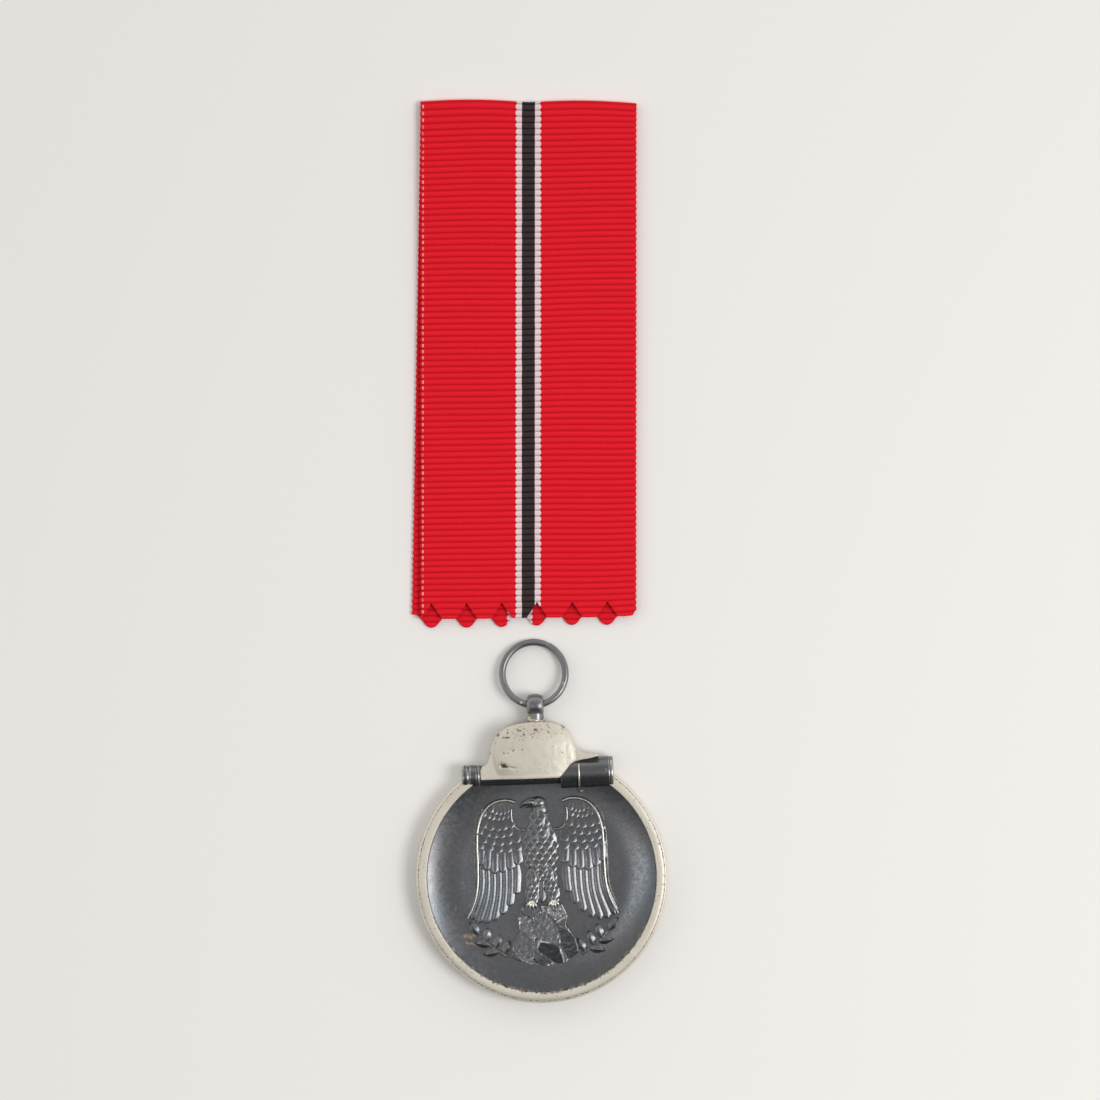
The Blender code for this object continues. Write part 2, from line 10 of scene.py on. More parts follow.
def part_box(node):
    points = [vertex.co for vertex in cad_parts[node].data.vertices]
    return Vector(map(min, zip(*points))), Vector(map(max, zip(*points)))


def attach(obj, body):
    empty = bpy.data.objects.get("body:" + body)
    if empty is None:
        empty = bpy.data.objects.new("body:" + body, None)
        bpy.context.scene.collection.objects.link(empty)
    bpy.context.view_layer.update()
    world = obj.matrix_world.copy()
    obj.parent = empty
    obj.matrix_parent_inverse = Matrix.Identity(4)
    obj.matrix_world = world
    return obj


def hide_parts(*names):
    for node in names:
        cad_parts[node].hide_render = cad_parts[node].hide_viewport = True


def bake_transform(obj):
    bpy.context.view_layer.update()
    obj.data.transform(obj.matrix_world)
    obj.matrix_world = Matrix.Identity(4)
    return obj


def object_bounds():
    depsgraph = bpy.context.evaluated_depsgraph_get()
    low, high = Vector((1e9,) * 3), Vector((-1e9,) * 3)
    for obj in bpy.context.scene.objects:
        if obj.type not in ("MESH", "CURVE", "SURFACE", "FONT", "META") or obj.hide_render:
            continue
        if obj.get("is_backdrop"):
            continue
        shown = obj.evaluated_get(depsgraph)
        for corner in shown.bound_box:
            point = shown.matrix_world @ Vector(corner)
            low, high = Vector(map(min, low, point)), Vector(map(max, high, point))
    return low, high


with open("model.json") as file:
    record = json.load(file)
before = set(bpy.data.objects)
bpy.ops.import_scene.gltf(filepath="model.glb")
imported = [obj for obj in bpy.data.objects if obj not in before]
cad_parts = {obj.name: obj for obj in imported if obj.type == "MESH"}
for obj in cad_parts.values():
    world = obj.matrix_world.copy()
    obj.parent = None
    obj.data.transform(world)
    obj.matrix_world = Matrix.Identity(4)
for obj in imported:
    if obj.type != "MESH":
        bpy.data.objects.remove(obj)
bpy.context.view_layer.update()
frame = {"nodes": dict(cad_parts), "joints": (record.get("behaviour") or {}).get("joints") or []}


# ---- Rim frame ----
# A turned ring of frosted silvered metal that holds the two faces of the disc together. Its front
# has a fine groove near the outside, and dirt has settled along the inner edge at the foot.
MM = 0.001
rim_low, rim_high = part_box("rim_frame")
DISC_R = (rim_high.x - rim_low.x) / 2 / MM
DISC = Vector(((rim_low.x + rim_high.x) / 2, rim_low.y + DISC_R * MM, 0.0))
RIM_T = rim_high.z / MM
BAND_W = 1.6
TURNED_STEPS = 320


def from_mm(points):
    """Points in millimetres from the disc's centre, on the ground's height, in metres in the row frame."""
    return np.asarray(points, float)[:, :3] * MM + np.array((DISC.x, DISC.y, 0.0))


def to_mm(points):
    """Points of the frame, in metres, as millimetres from the disc's centre."""
    return (np.asarray(points, float) - np.array((DISC.x, DISC.y, 0.0))) / MM


def joined(parts):
    """Several (points, faces) as one. A point is x, y, z and how far it is rubbed bright; inside the ring
    that number is a painted highlight.
    """
    points, faces, first = [], [], 0
    for part_points, part_faces in parts:
        points.append(np.asarray(part_points, float))
        faces += [[first + i for i in face] for face in part_faces]
        first += len(part_points)
    return np.vstack(points), faces


def mesh_from(name, points, faces):
    """A mesh with its faces turned outward, from points in metres."""
    mesh = bpy.data.meshes.new(name)
    mesh.from_pydata([tuple(p) for p in points], [], faces)
    bm = bmesh.new()
    bm.from_mesh(mesh)
    bmesh.ops.recalc_face_normals(bm, faces=bm.faces)
    bm.to_mesh(mesh)
    bm.free()
    return mesh


def mark(mesh, name, values):
    """Stores a number at each point, for the finish to read."""
    attribute = mesh.attributes.get(name) or mesh.attributes.new(name, "FLOAT", "POINT")
    attribute.data.foreach_set("value", np.clip(values, 0.0, 1.0).astype(np.float32))


def mounted(name, mesh, finish, body, nodes=(), crease=40):
    """The mesh as a piece that rides on a body and stands for CAD nodes."""
    mesh.materials.clear()
    mesh.materials.append(finish)
    mesh.shade_smooth()
    mesh.set_sharp_from_angle(angle=math.radians(crease))
    made = bpy.data.objects.new(name, mesh)
    bpy.context.scene.collection.objects.link(made)
    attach(made, body)
    if nodes:
        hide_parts(*nodes)
    return made


def metal_piece(name, parts, finish, nodes=(), grime=None, body="medal", crease=40):
    """Parts in millimetres as one finished metal piece. grime is a function that gives a tone per point:
    dirt, and on the helmet's wall painted shade.
    """
    points, faces = joined(parts)
    mesh = mesh_from(name, from_mm(points), faces)
    mark(mesh, "rub", points[:, 3])
    mark(mesh, "grime", grime(points) if grime else np.zeros(len(points)))
    return mounted(name, mesh, finish, body, nodes, crease)


def turned(profile, ring, steps=TURNED_STEPS):
    """A profile of (radius, height, rub) turned about Z. A ring closes; else both ends are poles."""
    profile = [(*p, 0.0) if len(p) == 2 else p for p in profile]
    points, rows = [], []
    for radius, height, rub in profile:
        count = 1 if radius < 1e-6 else steps
        rows.append([len(points) + i for i in range(count)])
        for i in range(count):
            a = 2 * math.pi * i / steps
            points.append((radius * math.cos(a), radius * math.sin(a), height, rub))
    pairs = list(zip(rows, rows[1:])) + ([(rows[-1], rows[0])] if ring else [])
    faces = []
    for low, high in pairs:
        for i in range(steps):
            j = (i + 1) % steps
            corners = [low[i % len(low)], low[j % len(low)], high[j % len(high)], high[i % len(high)]]
            faces.append(list(dict.fromkeys(corners)))
    return np.array(points), faces


def near(points, spots):
    """How near each point is to any of the spots (x, y, width, depth of tone), from 0 to 1."""
    total = np.zeros(len(points))
    for x, y, width, tone in spots:
        far = ((points[:, 0] - x) ** 2 + (points[:, 1] - y) ** 2) / width**2
        total = np.maximum(total, tone * np.exp(-far))
    return total


def node_into(tree, kind, **values):
    """A new node with its settings and its unlinked inputs filled in."""
    node = tree.nodes.new(kind)
    for key, value in values.items():
        if key in node.bl_rna.properties:
            setattr(node, key, value)
        else:
            node.inputs[key.replace("_", " ")].default_value = value
    return node


def remap(tree, value, low, high, to_low=0.0, to_high=1.0):
    """A value eased from one range of numbers to another."""
    node = node_into(tree, "ShaderNodeMapRange", interpolation_type="SMOOTHSTEP")
    tree.links.new(value, node.inputs["Value"])
    for key, number in (("From Min", low), ("From Max", high), ("To Min", to_low), ("To Max", to_high)):
        node.inputs[key].default_value = number
    return node.outputs["Result"]


def combined(tree, operation, first, second):
    """One step of arithmetic on two values, each of them a number or a socket."""
    node = tree.nodes.new("ShaderNodeMath")
    node.operation = operation
    for socket, value in zip(node.inputs, (first, second)):
        if isinstance(value, (int, float)):
            socket.default_value = value
        else:
            tree.links.new(value, socket)
    return node.outputs[0]


def blended(tree, share, first, second):
    """One colour over another. Either may be a fixed colour or a socket."""
    node = tree.nodes.new("ShaderNodeMix")
    node.data_type = "RGBA"
    for socket, value in ((node.inputs[0], share), (node.inputs[6], first), (node.inputs[7], second)):
        if isinstance(value, bpy.types.NodeSocket):
            tree.links.new(value, socket)
        else:
            socket.default_value = (*value, 1.0) if isinstance(value, tuple) else value
    return node.outputs[2]


def marks_group():
    """Wear on metal: where rubbed edges show bright, where dirt sits, the pitting and the clouding. The rub
    also carries a painted highlight and the grime a painted shade.
    """
    tree = bpy.data.node_groups.new("surface_marks", "ShaderNodeTree")
    for name, default in (("Rub", 0.0), ("Grime", 0.0), ("Grain Scale", 2500.0)):
        socket = tree.interface.new_socket(name, in_out="INPUT", socket_type="NodeSocketFloat")
        socket.default_value = default
    for name in ("Rubbed", "Soiled", "Grain", "Cloud"):
        tree.interface.new_socket(name, in_out="OUTPUT", socket_type="NodeSocketFloat")
    given = tree.nodes.new("NodeGroupInput")
    out = tree.nodes.new("NodeGroupOutput")
    place = tree.nodes.new("ShaderNodeTexCoord").outputs["Object"]
    fine = node_into(tree, "ShaderNodeTexNoise", Detail=5.0, Roughness=0.65)
    broad = node_into(tree, "ShaderNodeTexNoise", Detail=3.0, Roughness=0.5)
    tree.links.new(place, fine.inputs["Vector"])
    tree.links.new(place, broad.inputs["Vector"])
    tree.links.new(given.outputs["Grain Scale"], fine.inputs["Scale"])
    tree.links.new(combined(tree, "MULTIPLY", given.outputs["Grain Scale"], 0.1), broad.inputs["Scale"])
    speck = combined(tree, "SUBTRACT", fine.outputs["Fac"], 0.5)
    rubbed = combined(tree, "ADD", given.outputs["Rub"], combined(tree, "MULTIPLY", speck, 0.8))
    soiled_and_shaded = combined(tree, "ADD", given.outputs["Grime"], combined(tree, "MULTIPLY", speck, 1.8))
    tree.links.new(remap(tree, rubbed, 0.25, 0.85), out.inputs["Rubbed"])
    tree.links.new(remap(tree, soiled_and_shaded, 0.42, 0.62), out.inputs["Soiled"])
    tree.links.new(fine.outputs["Fac"], out.inputs["Grain"])
    tree.links.new(broad.outputs["Fac"], out.inputs["Cloud"])
    return tree


MARKS = marks_group()


def worn_metal(name, ground, cloud, bright, dirt, metallic, roughness, grain, pit, lacquer=0.0):
    """A metal finish with its own clouding, rubbed edges, dirt and pitting. Its bright colour also paints the
    highlight inside the ring, and its dirt colour the shade low on the helmet's wall.
    """
    material = bpy.data.materials.new(name)
    material.use_nodes = True
    tree = material.node_tree
    shader = tree.nodes["Principled BSDF"]
    marks = tree.nodes.new("ShaderNodeGroup")
    marks.node_tree = MARKS
    marks.inputs["Grain Scale"].default_value = grain
    for attribute, socket in (("rub", "Rub"), ("grime", "Grime")):
        read = node_into(tree, "ShaderNodeAttribute", attribute_name=attribute)
        tree.links.new(read.outputs["Fac"], marks.inputs[socket])
    clouded = blended(tree, remap(tree, marks.outputs["Cloud"], 0.38, 0.62), ground, cloud)
    rubbed = blended(tree, marks.outputs["Rubbed"], clouded, bright)
    colour = blended(tree, marks.outputs["Soiled"], rubbed, dirt)
    tree.links.new(colour, shader.inputs["Base Color"])
    shader.inputs["Metallic"].default_value = metallic
    shader.inputs["Coat Weight"].default_value = lacquer
    shader.inputs["Coat Roughness"].default_value = 0.2
    rough = remap(tree, marks.outputs["Grain"], 0.3, 0.7, roughness - 0.06, roughness + 0.06)
    tree.links.new(rough, shader.inputs["Roughness"])
    bump = node_into(tree, "ShaderNodeBump", Strength=pit, Distance=0.05 * MM)
    tree.links.new(marks.outputs["Grain"], bump.inputs["Height"])
    tree.links.new(bump.outputs["Normal"], shader.inputs["Normal"])
    return material


# Its dark colour is dirt, and on the helmet's wall painted shade.
FROSTED_SILVER = worn_metal(
    "frosted_silver", (0.60, 0.565, 0.485), (0.56, 0.52, 0.44), (0.78, 0.76, 0.70), (0.10, 0.085, 0.065),
    metallic=0.35, roughness=0.44, grain=2600.0, pit=0.35,
)


def rim_grime(points):
    """Dirt along the band's inner wall, most of it at the foot, and in the groove near its outer edge."""
    radius = np.hypot(points[:, 0], points[:, 1])
    angle = np.degrees(np.arctan2(points[:, 1], points[:, 0]))
    foot = np.exp(-(((angle + 85) / 62) ** 2))
    inner = np.exp(-(((radius - DISC_R + BAND_W - 0.12) / 0.16) ** 2))
    outer = np.exp(-(((radius - DISC_R + 0.36) / 0.09) ** 2))
    return 0.2 + 0.33 * inner * (0.35 + 0.65 * foot) + 0.27 * outer + 0.04 * (radius > DISC_R - 0.09)


inner_r = DISC_R - BAND_W
rim_profile = [
    (inner_r, 1.0), (inner_r, RIM_T - 0.35), (inner_r + 0.05, RIM_T - 0.14, 0.3),
    (inner_r + 0.14, RIM_T - 0.03, 0.6), (inner_r + 0.3, RIM_T), (inner_r + 0.8, RIM_T - 0.01),
    (DISC_R - 0.46, RIM_T - 0.06), (DISC_R - 0.40, RIM_T - 0.10), (DISC_R - 0.35, RIM_T - 0.17),
    (DISC_R - 0.31, RIM_T - 0.12), (DISC_R - 0.24, RIM_T - 0.13, 0.4), (DISC_R - 0.1, RIM_T - 0.22, 0.5),
    (DISC_R - 0.03, RIM_T - 0.34, 0.4), (DISC_R, RIM_T - 0.52), (DISC_R, 0.55), (DISC_R - 0.03, 0.3),
    (DISC_R - 0.12, 0.12, 0.4), (DISC_R - 0.3, 0.02, 0.3), (DISC_R - 0.6, 0.0), (inner_r + 0.35, 0.0),
    (inner_r + 0.14, 0.04, 0.5), (inner_r + 0.04, 0.15, 0.3), (inner_r, 0.35), (inner_r, 0.7),
]
metal_piece(
    "rim_band", [turned(rim_profile, ring=True)], FROSTED_SILVER, ["rim_frame"],
    grime=rim_grime,
)


# ---- Faces of the disc ----
# Two thin plates pressed into the rim. The front one is blackened, flat in the middle, and curls up
# to the rim; the back one is a shallow dish with a plain struck wreath of two laurel sprays.
plate_low, plate_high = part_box("obverse_plate")
PLATE_R = (plate_high.x - plate_low.x) / 2 / MM
PLATE_LIP = plate_high.z / MM
PLATE_FOOT = plate_low.z / MM
FIELD_Z = 1.85
CURL_FROM = 0.7
CURL_POWER = 2.1
back_low, back_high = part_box("reverse_plate")
BACK_Z = back_low.z / MM
BACK_LIP = 0.12

BLACKENED = worn_metal(
    "blackened_metal", (0.108, 0.119, 0.131), (0.128, 0.125, 0.133), (0.60, 0.575, 0.52), (0.30, 0.235, 0.17),
    metallic=0.85, roughness=0.26, grain=1500.0, pit=0.12, lacquer=0.4,
)


def field_grime(points):
    """Brown stains on the left of the field, and a warm tint where the curl meets the rim."""
    spots = [
        (-10.6, -8.3, 1.5, 0.6), (-11.0, -0.7, 1.3, 0.45), (-12.6, -4.4, 1.2, 0.4), (12.6, 9.4, 1.6, 0.2),
    ]
    radius = np.hypot(points[:, 0], points[:, 1])
    foot = np.clip(-points[:, 1] / PLATE_R, 0, 1)
    return near(points, spots) + (0.3 + 0.3 * foot) * np.exp(-(((radius - PLATE_R) / 0.25) ** 2))


CURL_STEPS = 18
curl = []
for step in range(1, CURL_STEPS + 1):
    t = step / CURL_STEPS
    height = FIELD_Z + (PLATE_LIP - FIELD_Z) * t**CURL_POWER
    curl.append((PLATE_R * (CURL_FROM + (1 - CURL_FROM) * t), height, 0.06 * t**6))
field_profile = [(0.0, FIELD_Z)] + [(PLATE_R * CURL_FROM * k / 12, FIELD_Z) for k in range(1, 13)] + curl
field_profile += [(PLATE_R, PLATE_FOOT), (PLATE_R * 0.5, PLATE_FOOT), (0.0, PLATE_FOOT)]
metal_piece(
    "field_dish", [turned(field_profile, ring=False)], BLACKENED, ["obverse_plate"],
    grime=field_grime, crease=50,
)
back_profile = [(0.0, BACK_Z)] + [(PLATE_R * k / 10, BACK_Z) for k in range(1, 9)]
for k in range(1, 11):
    back_profile.append((PLATE_R * (0.8 + 0.2 * k / 10), BACK_Z - (BACK_Z - BACK_LIP) * (k / 10) ** 2))
back_profile += [(PLATE_R, back_high.z / MM), (0.0, back_high.z / MM)]
metal_piece(
    "reverse_dish", [turned(back_profile, ring=False)], BLACKENED, ["reverse_plate"],
    crease=50,
)


# ---- Laurel sprays ----
# Struck in low relief with the plates: a stem with leaves on either side. One spray lies on each
# side of the crag in front, and two larger ones make the wreath at the back.
def smooth_path(knots, steps=8):
    """Points on a smooth curve through the knots."""
    knots = np.array(knots, float)
    ends = np.vstack([2 * knots[0] - knots[1], knots, 2 * knots[-1] - knots[-2]])
    path = []
    for a, b, c, d in zip(ends, ends[1:], ends[2:], ends[3:]):
        for t in np.arange(steps) / steps:
            bend = (2 * a - 5 * b + 4 * c - d) * t**2 + (3 * b - a - 3 * c + d) * t**3
            path.append(0.5 * (2 * b + (c - a) * t + bend))
    path.append(knots[-1])
    return np.array(path)


def tube(path, radii, sides=12, flat=1.0, rub=0.0):
    """A round bar along a path, with rounded ends. Radii are spread along it."""
    path = np.array(path, float)
    along = np.linspace(0, 1, len(path))
    radii = np.interp(along, np.linspace(0, 1, len(radii)), radii)
    tangent = np.gradient(path, axis=0)
    tangent /= np.linalg.norm(tangent, axis=1)[:, None]
    stations = [(path[0] - tangent[0] * radii[0] * 0.4, tangent[0], radii[0] * 0.55)]
    stations += list(zip(path, tangent, radii))
    stations += [(path[-1] + tangent[-1] * radii[-1] * 0.4, tangent[-1], radii[-1] * 0.55)]
    points = []
    side = None
    for place, forward, radius in stations:
        up = np.array((0.0, 0.0, 1.0)) if abs(forward[2]) < 0.95 or side is None else np.cross(side, forward)
        side = np.cross(forward, up)
        side /= np.linalg.norm(side)
        up = np.cross(side, forward)
        for k in range(sides):
            a = 2 * math.pi * k / sides
            spot = place + radius * (side * math.cos(a) + up * math.sin(a) * flat)
            points.append((*spot, rub * max(0.0, math.sin(a)) ** 2))
    faces = [list(range(sides)), list(range(len(points) - sides, len(points)))]
    for row in range(len(stations) - 1):
        for k in range(sides):
            a, b = row * sides + k, row * sides + (k + 1) % sides
            faces.append([a, b, b + sides, a + sides])
    return np.array(points), faces


def blade(centre, half, heights, camber, foot, rib=0.0, edge_rub=0.5, across=7):
    """A cambered leaf or feather along a centre line, closed flat below at the foot's height."""
    count = len(centre)
    even = np.linspace(0, 1, count)
    stations = 1 - (1 - even) ** 1.7
    centre = np.column_stack([np.interp(stations, even, column) for column in np.array(centre, float).T])
    half = np.interp(stations, np.linspace(0, 1, len(half)), half)
    heights = np.interp(stations, np.linspace(0, 1, len(heights)), heights)
    tangent = np.gradient(centre, axis=0)
    tangent /= np.linalg.norm(tangent, axis=1)[:, None]
    points = []
    for place, (tx, ty), width, height in zip(centre, tangent, half, heights):
        for v in np.linspace(-1, 1, across):
            ridge = math.exp(-((v / 0.2) ** 2))
            z = height - camber * v * v + rib * ridge
            points.append((place[0] - ty * width * v, place[1] + tx * width * v, z,
                           edge_rub * v**4 + 0.6 * edge_rub * ridge * (rib > 0)))
    faces = [
        [r * across + c, r * across + c + 1, (r + 1) * across + c + 1, (r + 1) * across + c]
        for r in range(count - 1) for c in range(across - 1)
    ]
    last = (count - 1) * across
    rim = list(range(across)) + [r * across + across - 1 for r in range(1, count)]
    rim += [last + c for c in range(across - 2, -1, -1)] + [r * across for r in range(count - 2, 0, -1)]
    below = len(points)
    points += [(points[i][0], points[i][1], foot, 0.0) for i in rim]
    for k, i in enumerate(rim):
        j = (k + 1) % len(rim)
        faces.append([i, rim[j], below + j, below + k])
    faces.append([below + k for k in range(len(rim))])
    return np.array(points), faces


def feather_widths(width, root, round_from=0.72):
    """Half widths from root to rounded tip."""
    out = []
    for s in np.linspace(0, 1, 40):
        tip = math.sqrt(max(0.0, 1 - (max(0.0, s - round_from) / (1 - round_from)) ** 2))
        out.append(max(0.035, width / 2 * min(1.0, root + 1.6 * s) * tip))
    return out


def leaf_widths(width):
    """Half widths of a leaf, pointed at both ends."""
    return [max(0.03, width / 2 * math.sin(math.pi * s**0.8) ** 0.85) for s in np.linspace(0, 1, 12)]


def template(name, part):
    """A single unit leaf or feather, that is set out many times and never shown itself."""
    points, faces = part
    mesh = mesh_from(name, points[:, :3], faces)
    mark(mesh, "rub", points[:, 3])
    mark(mesh, "grime", np.zeros(len(points)))
    return bpy.data.objects.new(name, mesh)


def setting_out_tree():
    """Sets one leaf or feather on every point, turned and sized as the point says, with a little ruffle."""
    tree = bpy.data.node_groups.new("set_out_feathers", "GeometryNodeTree")
    sockets = (
        ("Points", "NodeSocketGeometry"), ("Feather", "NodeSocketObject"), ("Unit", "NodeSocketFloat"),
        ("Ruffle", "NodeSocketFloat"), ("Finish", "NodeSocketMaterial"),
    )
    for name, kind in sockets:
        tree.interface.new_socket(name, in_out="INPUT", socket_type=kind)
    tree.interface.new_socket("Feathers", in_out="OUTPUT", socket_type="NodeSocketGeometry")
    given = tree.nodes.new("NodeGroupInput")
    out = tree.nodes.new("NodeGroupOutput")
    source = tree.nodes.new("GeometryNodeObjectInfo")
    turn = node_into(tree, "GeometryNodeInputNamedAttribute", data_type="FLOAT_VECTOR")
    turn.inputs["Name"].default_value = "turn"
    size = node_into(tree, "GeometryNodeInputNamedAttribute", data_type="FLOAT_VECTOR")
    size.inputs["Name"].default_value = "size"
    chance = node_into(tree, "FunctionNodeRandomValue", data_type="FLOAT")
    chance.inputs["Seed"].default_value = 7
    low = combined(tree, "MULTIPLY", given.outputs["Ruffle"], -1.0)
    tree.links.new(low, chance.inputs[2])
    tree.links.new(given.outputs["Ruffle"], chance.inputs[3])
    ruffle = tree.nodes.new("ShaderNodeCombineXYZ")
    tree.links.new(chance.outputs[1], ruffle.inputs["Z"])
    turned_more = node_into(tree, "ShaderNodeVectorMath", operation="ADD")
    tree.links.new(turn.outputs["Attribute"], turned_more.inputs[0])
    tree.links.new(ruffle.outputs[0], turned_more.inputs[1])
    scaled = node_into(tree, "ShaderNodeVectorMath", operation="SCALE")
    tree.links.new(size.outputs["Attribute"], scaled.inputs[0])
    tree.links.new(given.outputs["Unit"], scaled.inputs["Scale"])
    set_out = tree.nodes.new("GeometryNodeInstanceOnPoints")
    real = tree.nodes.new("GeometryNodeRealizeInstances")
    coat = tree.nodes.new("GeometryNodeSetMaterial")
    tree.links.new(given.outputs["Feather"], source.inputs["Object"])
    tree.links.new(given.outputs["Points"], set_out.inputs["Points"])
    tree.links.new(source.outputs["Geometry"], set_out.inputs["Instance"])
    tree.links.new(turned_more.outputs["Vector"], set_out.inputs["Rotation"])
    tree.links.new(scaled.outputs["Vector"], set_out.inputs["Scale"])
    tree.links.new(set_out.outputs["Instances"], real.inputs["Geometry"])
    tree.links.new(real.outputs["Geometry"], coat.inputs["Geometry"])
    tree.links.new(given.outputs["Finish"], coat.inputs["Material"])
    tree.links.new(coat.outputs["Geometry"], out.inputs["Feathers"])
    return tree


SETTING_OUT = setting_out_tree()


def made_by(tree, base, values):
    """The plain mesh that a Geometry Nodes tree makes of a base mesh."""
    holder = bpy.data.objects.new(base.name, base)
    bpy.context.scene.collection.objects.link(holder)
    modifier = holder.modifiers.new("making", "NODES")
    modifier.node_group = tree
    for item in tree.interface.items_tree:
        if item.item_type == "SOCKET" and item.in_out == "INPUT" and item.name in values:
            modifier[item.identifier] = values[item.name]
    graph = bpy.context.evaluated_depsgraph_get()
    shaped = holder.evaluated_get(graph)
    mesh = bpy.data.meshes.new_from_object(shaped, preserve_all_data_layers=True, depsgraph=graph)
    holder.modifiers.clear()
    bpy.data.objects.remove(holder)
    return mesh


def set_out(name, feather, places, ruffle, finish):
    """Feathers or leaves at places (x, y, z, degrees, length, width, height), in millimetres, as one mesh."""
    places = np.array(places, float)
    base = bpy.data.meshes.new(name)
    base.from_pydata([tuple(p) for p in from_mm(places[:, :3])], [], [])
    turn = base.attributes.new("turn", "FLOAT_VECTOR", "POINT")
    size = base.attributes.new("size", "FLOAT_VECTOR", "POINT")
    for i, (_, _, _, degrees, length, width, height) in enumerate(places):
        turn.data[i].vector = (0.0, 0.0, math.radians(degrees))
        size.data[i].vector = (length, width, height)
    values = {"Feather": feather, "Unit": MM, "Ruffle": ruffle, "Finish": finish}
    return made_by(SETTING_OUT, base, values)


def added_to(mesh, parts):
    """The mesh with more parts in it, all in one."""
    points, faces = joined(parts)
    more = mesh_from("more", from_mm(points), faces)
    mark(more, "rub", points[:, 3])
    mark(more, "grime", np.zeros(len(points)))
    bm = bmesh.new()
    bm.from_mesh(mesh)
    bm.from_mesh(more)
    bmesh.ops.recalc_face_normals(bm, faces=bm.faces)
    bm.to_mesh(mesh)
    bm.free()
    bpy.data.meshes.remove(more)
    return mesh


def straight(count):
    """A centre line one unit long, for a template."""
    return [(s, 0.0) for s in np.linspace(0, 1, count)]


LEAF = template("laurel_leaf", blade(straight(12), leaf_widths(1.0), [0.7, 1.0, 0.9], 0.45, -0.6, rib=0.22))
SPRAY_Z = 1.98
# Each leaf of a spray is x, y, the way it points in degrees, and its length.
spray_stem = [(5.4, -11.2), (6.9, -10.2), (8.2, -9.1), (9.4, -7.9)]
spray_leaves = [
    (5.9, -10.9, 118, 2.3), (6.5, -10.5, -8, 2.3), (7.1, -10.0, 112, 2.3), (7.7, -9.5, 8, 2.3),
    (8.3, -9.0, 104, 2.2), (9.2, -8.0, 52, 2.4),
]
for side, name in ((1, "laurel_sprig_right"), (-1, "laurel_sprig_left")):
    places = []
    for x, y, degrees, length in spray_leaves:
        places.append((side * x, y, SPRAY_Z, degrees if side > 0 else 180 - degrees, length, 1.1, 0.34))
    spray = set_out(f"{name}_relief", LEAF, places, 0.06, BLACKENED)
    stem = [(side * x, y, SPRAY_Z + 0.05) for x, y in smooth_path(spray_stem)]
    spray = added_to(spray, [tube(stem, [0.2, 0.17, 0.12], rub=0.45)])
    mounted(f"{name}_relief", spray, BLACKENED, "medal", [name])

WREATH_R = 9.6
WREATH_Z = BACK_Z - 0.02
places, wreath_stems = [], []
for side in (1, -1):
    arc = [math.radians(-90 + side * d) for d in np.linspace(12, 150, 24)]
    stem = [(WREATH_R * math.cos(a), WREATH_R * math.sin(a), BACK_Z) for a in arc]
    wreath_stems.append(tube(stem, [0.3, 0.26, 0.14], flat=0.55, rub=0.6))
    for k, a in enumerate(arc[1:-1]):
        heading = math.degrees(a) + side * 90
        for lean in (34, -34):
            places.append((*stem[k + 1][:2], WREATH_Z, heading + lean, 2.5 - 0.03 * k, 0.95, -0.2))
    places.append((*stem[-1][:2], WREATH_Z, math.degrees(arc[-1]) + side * 90, 2.2, 0.9, -0.2))
wreath = set_out("reverse_wreath", LEAF, places, 0.05, BLACKENED)
mounted("reverse_wreath", added_to(wreath, wreath_stems), BLACKENED, "medal")


# ---- Bird ----
# A bird of prey struck in high relief and blackened, then rubbed so that its raised edges show
# bright: wings lowered, each with a bead along its outer edge, small coverts in rows above long
# pinions, scales on the breast and feathered legs.
WING_Z = 2.12
FIELD_SINK = FIELD_Z - 0.1


def prism(outline, low, high):
    """A flat outline, in millimetres, made a plate between two heights."""
    count = len(outline)
    points = [(x, y, z, 0.0) for z in (low, high) for x, y in outline]
    faces = [list(range(count)), list(range(count, 2 * count))]
    faces += [[k, (k + 1) % count, count + (k + 1) % count, count + k] for k in range(count)]
    return np.array(points), faces


def mirrored(part, side):
    """The part as it is for side 1, or on the other side of the disc for side -1."""
    points, faces = part
    points = np.array(points, float)
    points[:, 0] *= side
    return points, faces


wing_edge = [
    (3.4, 10.85), (4.4, 11.15), (5.7, 11.1), (7.0, 10.55), (8.0, 9.5), (8.6, 8.2), (8.95, 6.6), (9.05, 4.5),
    (9.05, 2.0), (9.15, -0.6), (9.5, -2.6), (10.1, -4.2), (10.8, -5.5),
]
wing_ground = [
    (3.6, 10.7), (5.6, 11.0), (7.4, 10.2), (8.7, 8.0), (9.0, 5.0), (9.0, 1.0), (9.4, -2.2), (10.5, -5.2),
    (9.3, -5.6), (7.2, -5.5), (5.3, -4.4), (4.0, -2.6), (3.2, -0.8), (2.0, 1.0), (1.2, 4.0), (1.2, 7.0),
    (2.4, 6.6), (3.4, 7.2), (3.9, 8.4), (3.9, 9.6),
]
shoulder_line = [(3.95, 9.9), (4.0, 8.9), (3.85, 8.0), (3.4, 7.25), (2.7, 6.85), (2.1, 6.9)]
outer_line = [
    (5.18, 11.75), (7.38, 10.95), (8.78, 9.2), (9.38, 6.8), (9.53, 3.0), (9.53, -0.2), (9.88, -2.2),
    (10.68, -4.2),
]
pinion_roots = [(8.6, 2.6), (7.8, 2.4), (7.0, 2.3), (6.15, 2.2), (5.3, 2.1), (4.45, 2.1), (3.6, 2.3)]
pinion_tips = [
    (10.35, -5.75), (9.35, -6.3), (8.25, -6.4), (7.1, -6.05), (5.9, -5.2), (4.85, -4.0), (3.85, -2.3),
]
second_roots = [(8.4, 5.6), (7.5, 5.2), (6.5, 4.9), (5.45, 4.7), (4.45, 4.8), (3.5, 5.0)]
second_tips = [(8.65, 2.0), (7.85, 1.2), (6.75, 0.7), (5.6, 0.85), (4.45, 1.2), (3.3, 1.9)]
PINION_HALF = feather_widths(1.34, root=0.8, round_from=0.9)
SECOND_HALF = feather_widths(1.56, root=0.8, round_from=0.76)
bird_parts = []
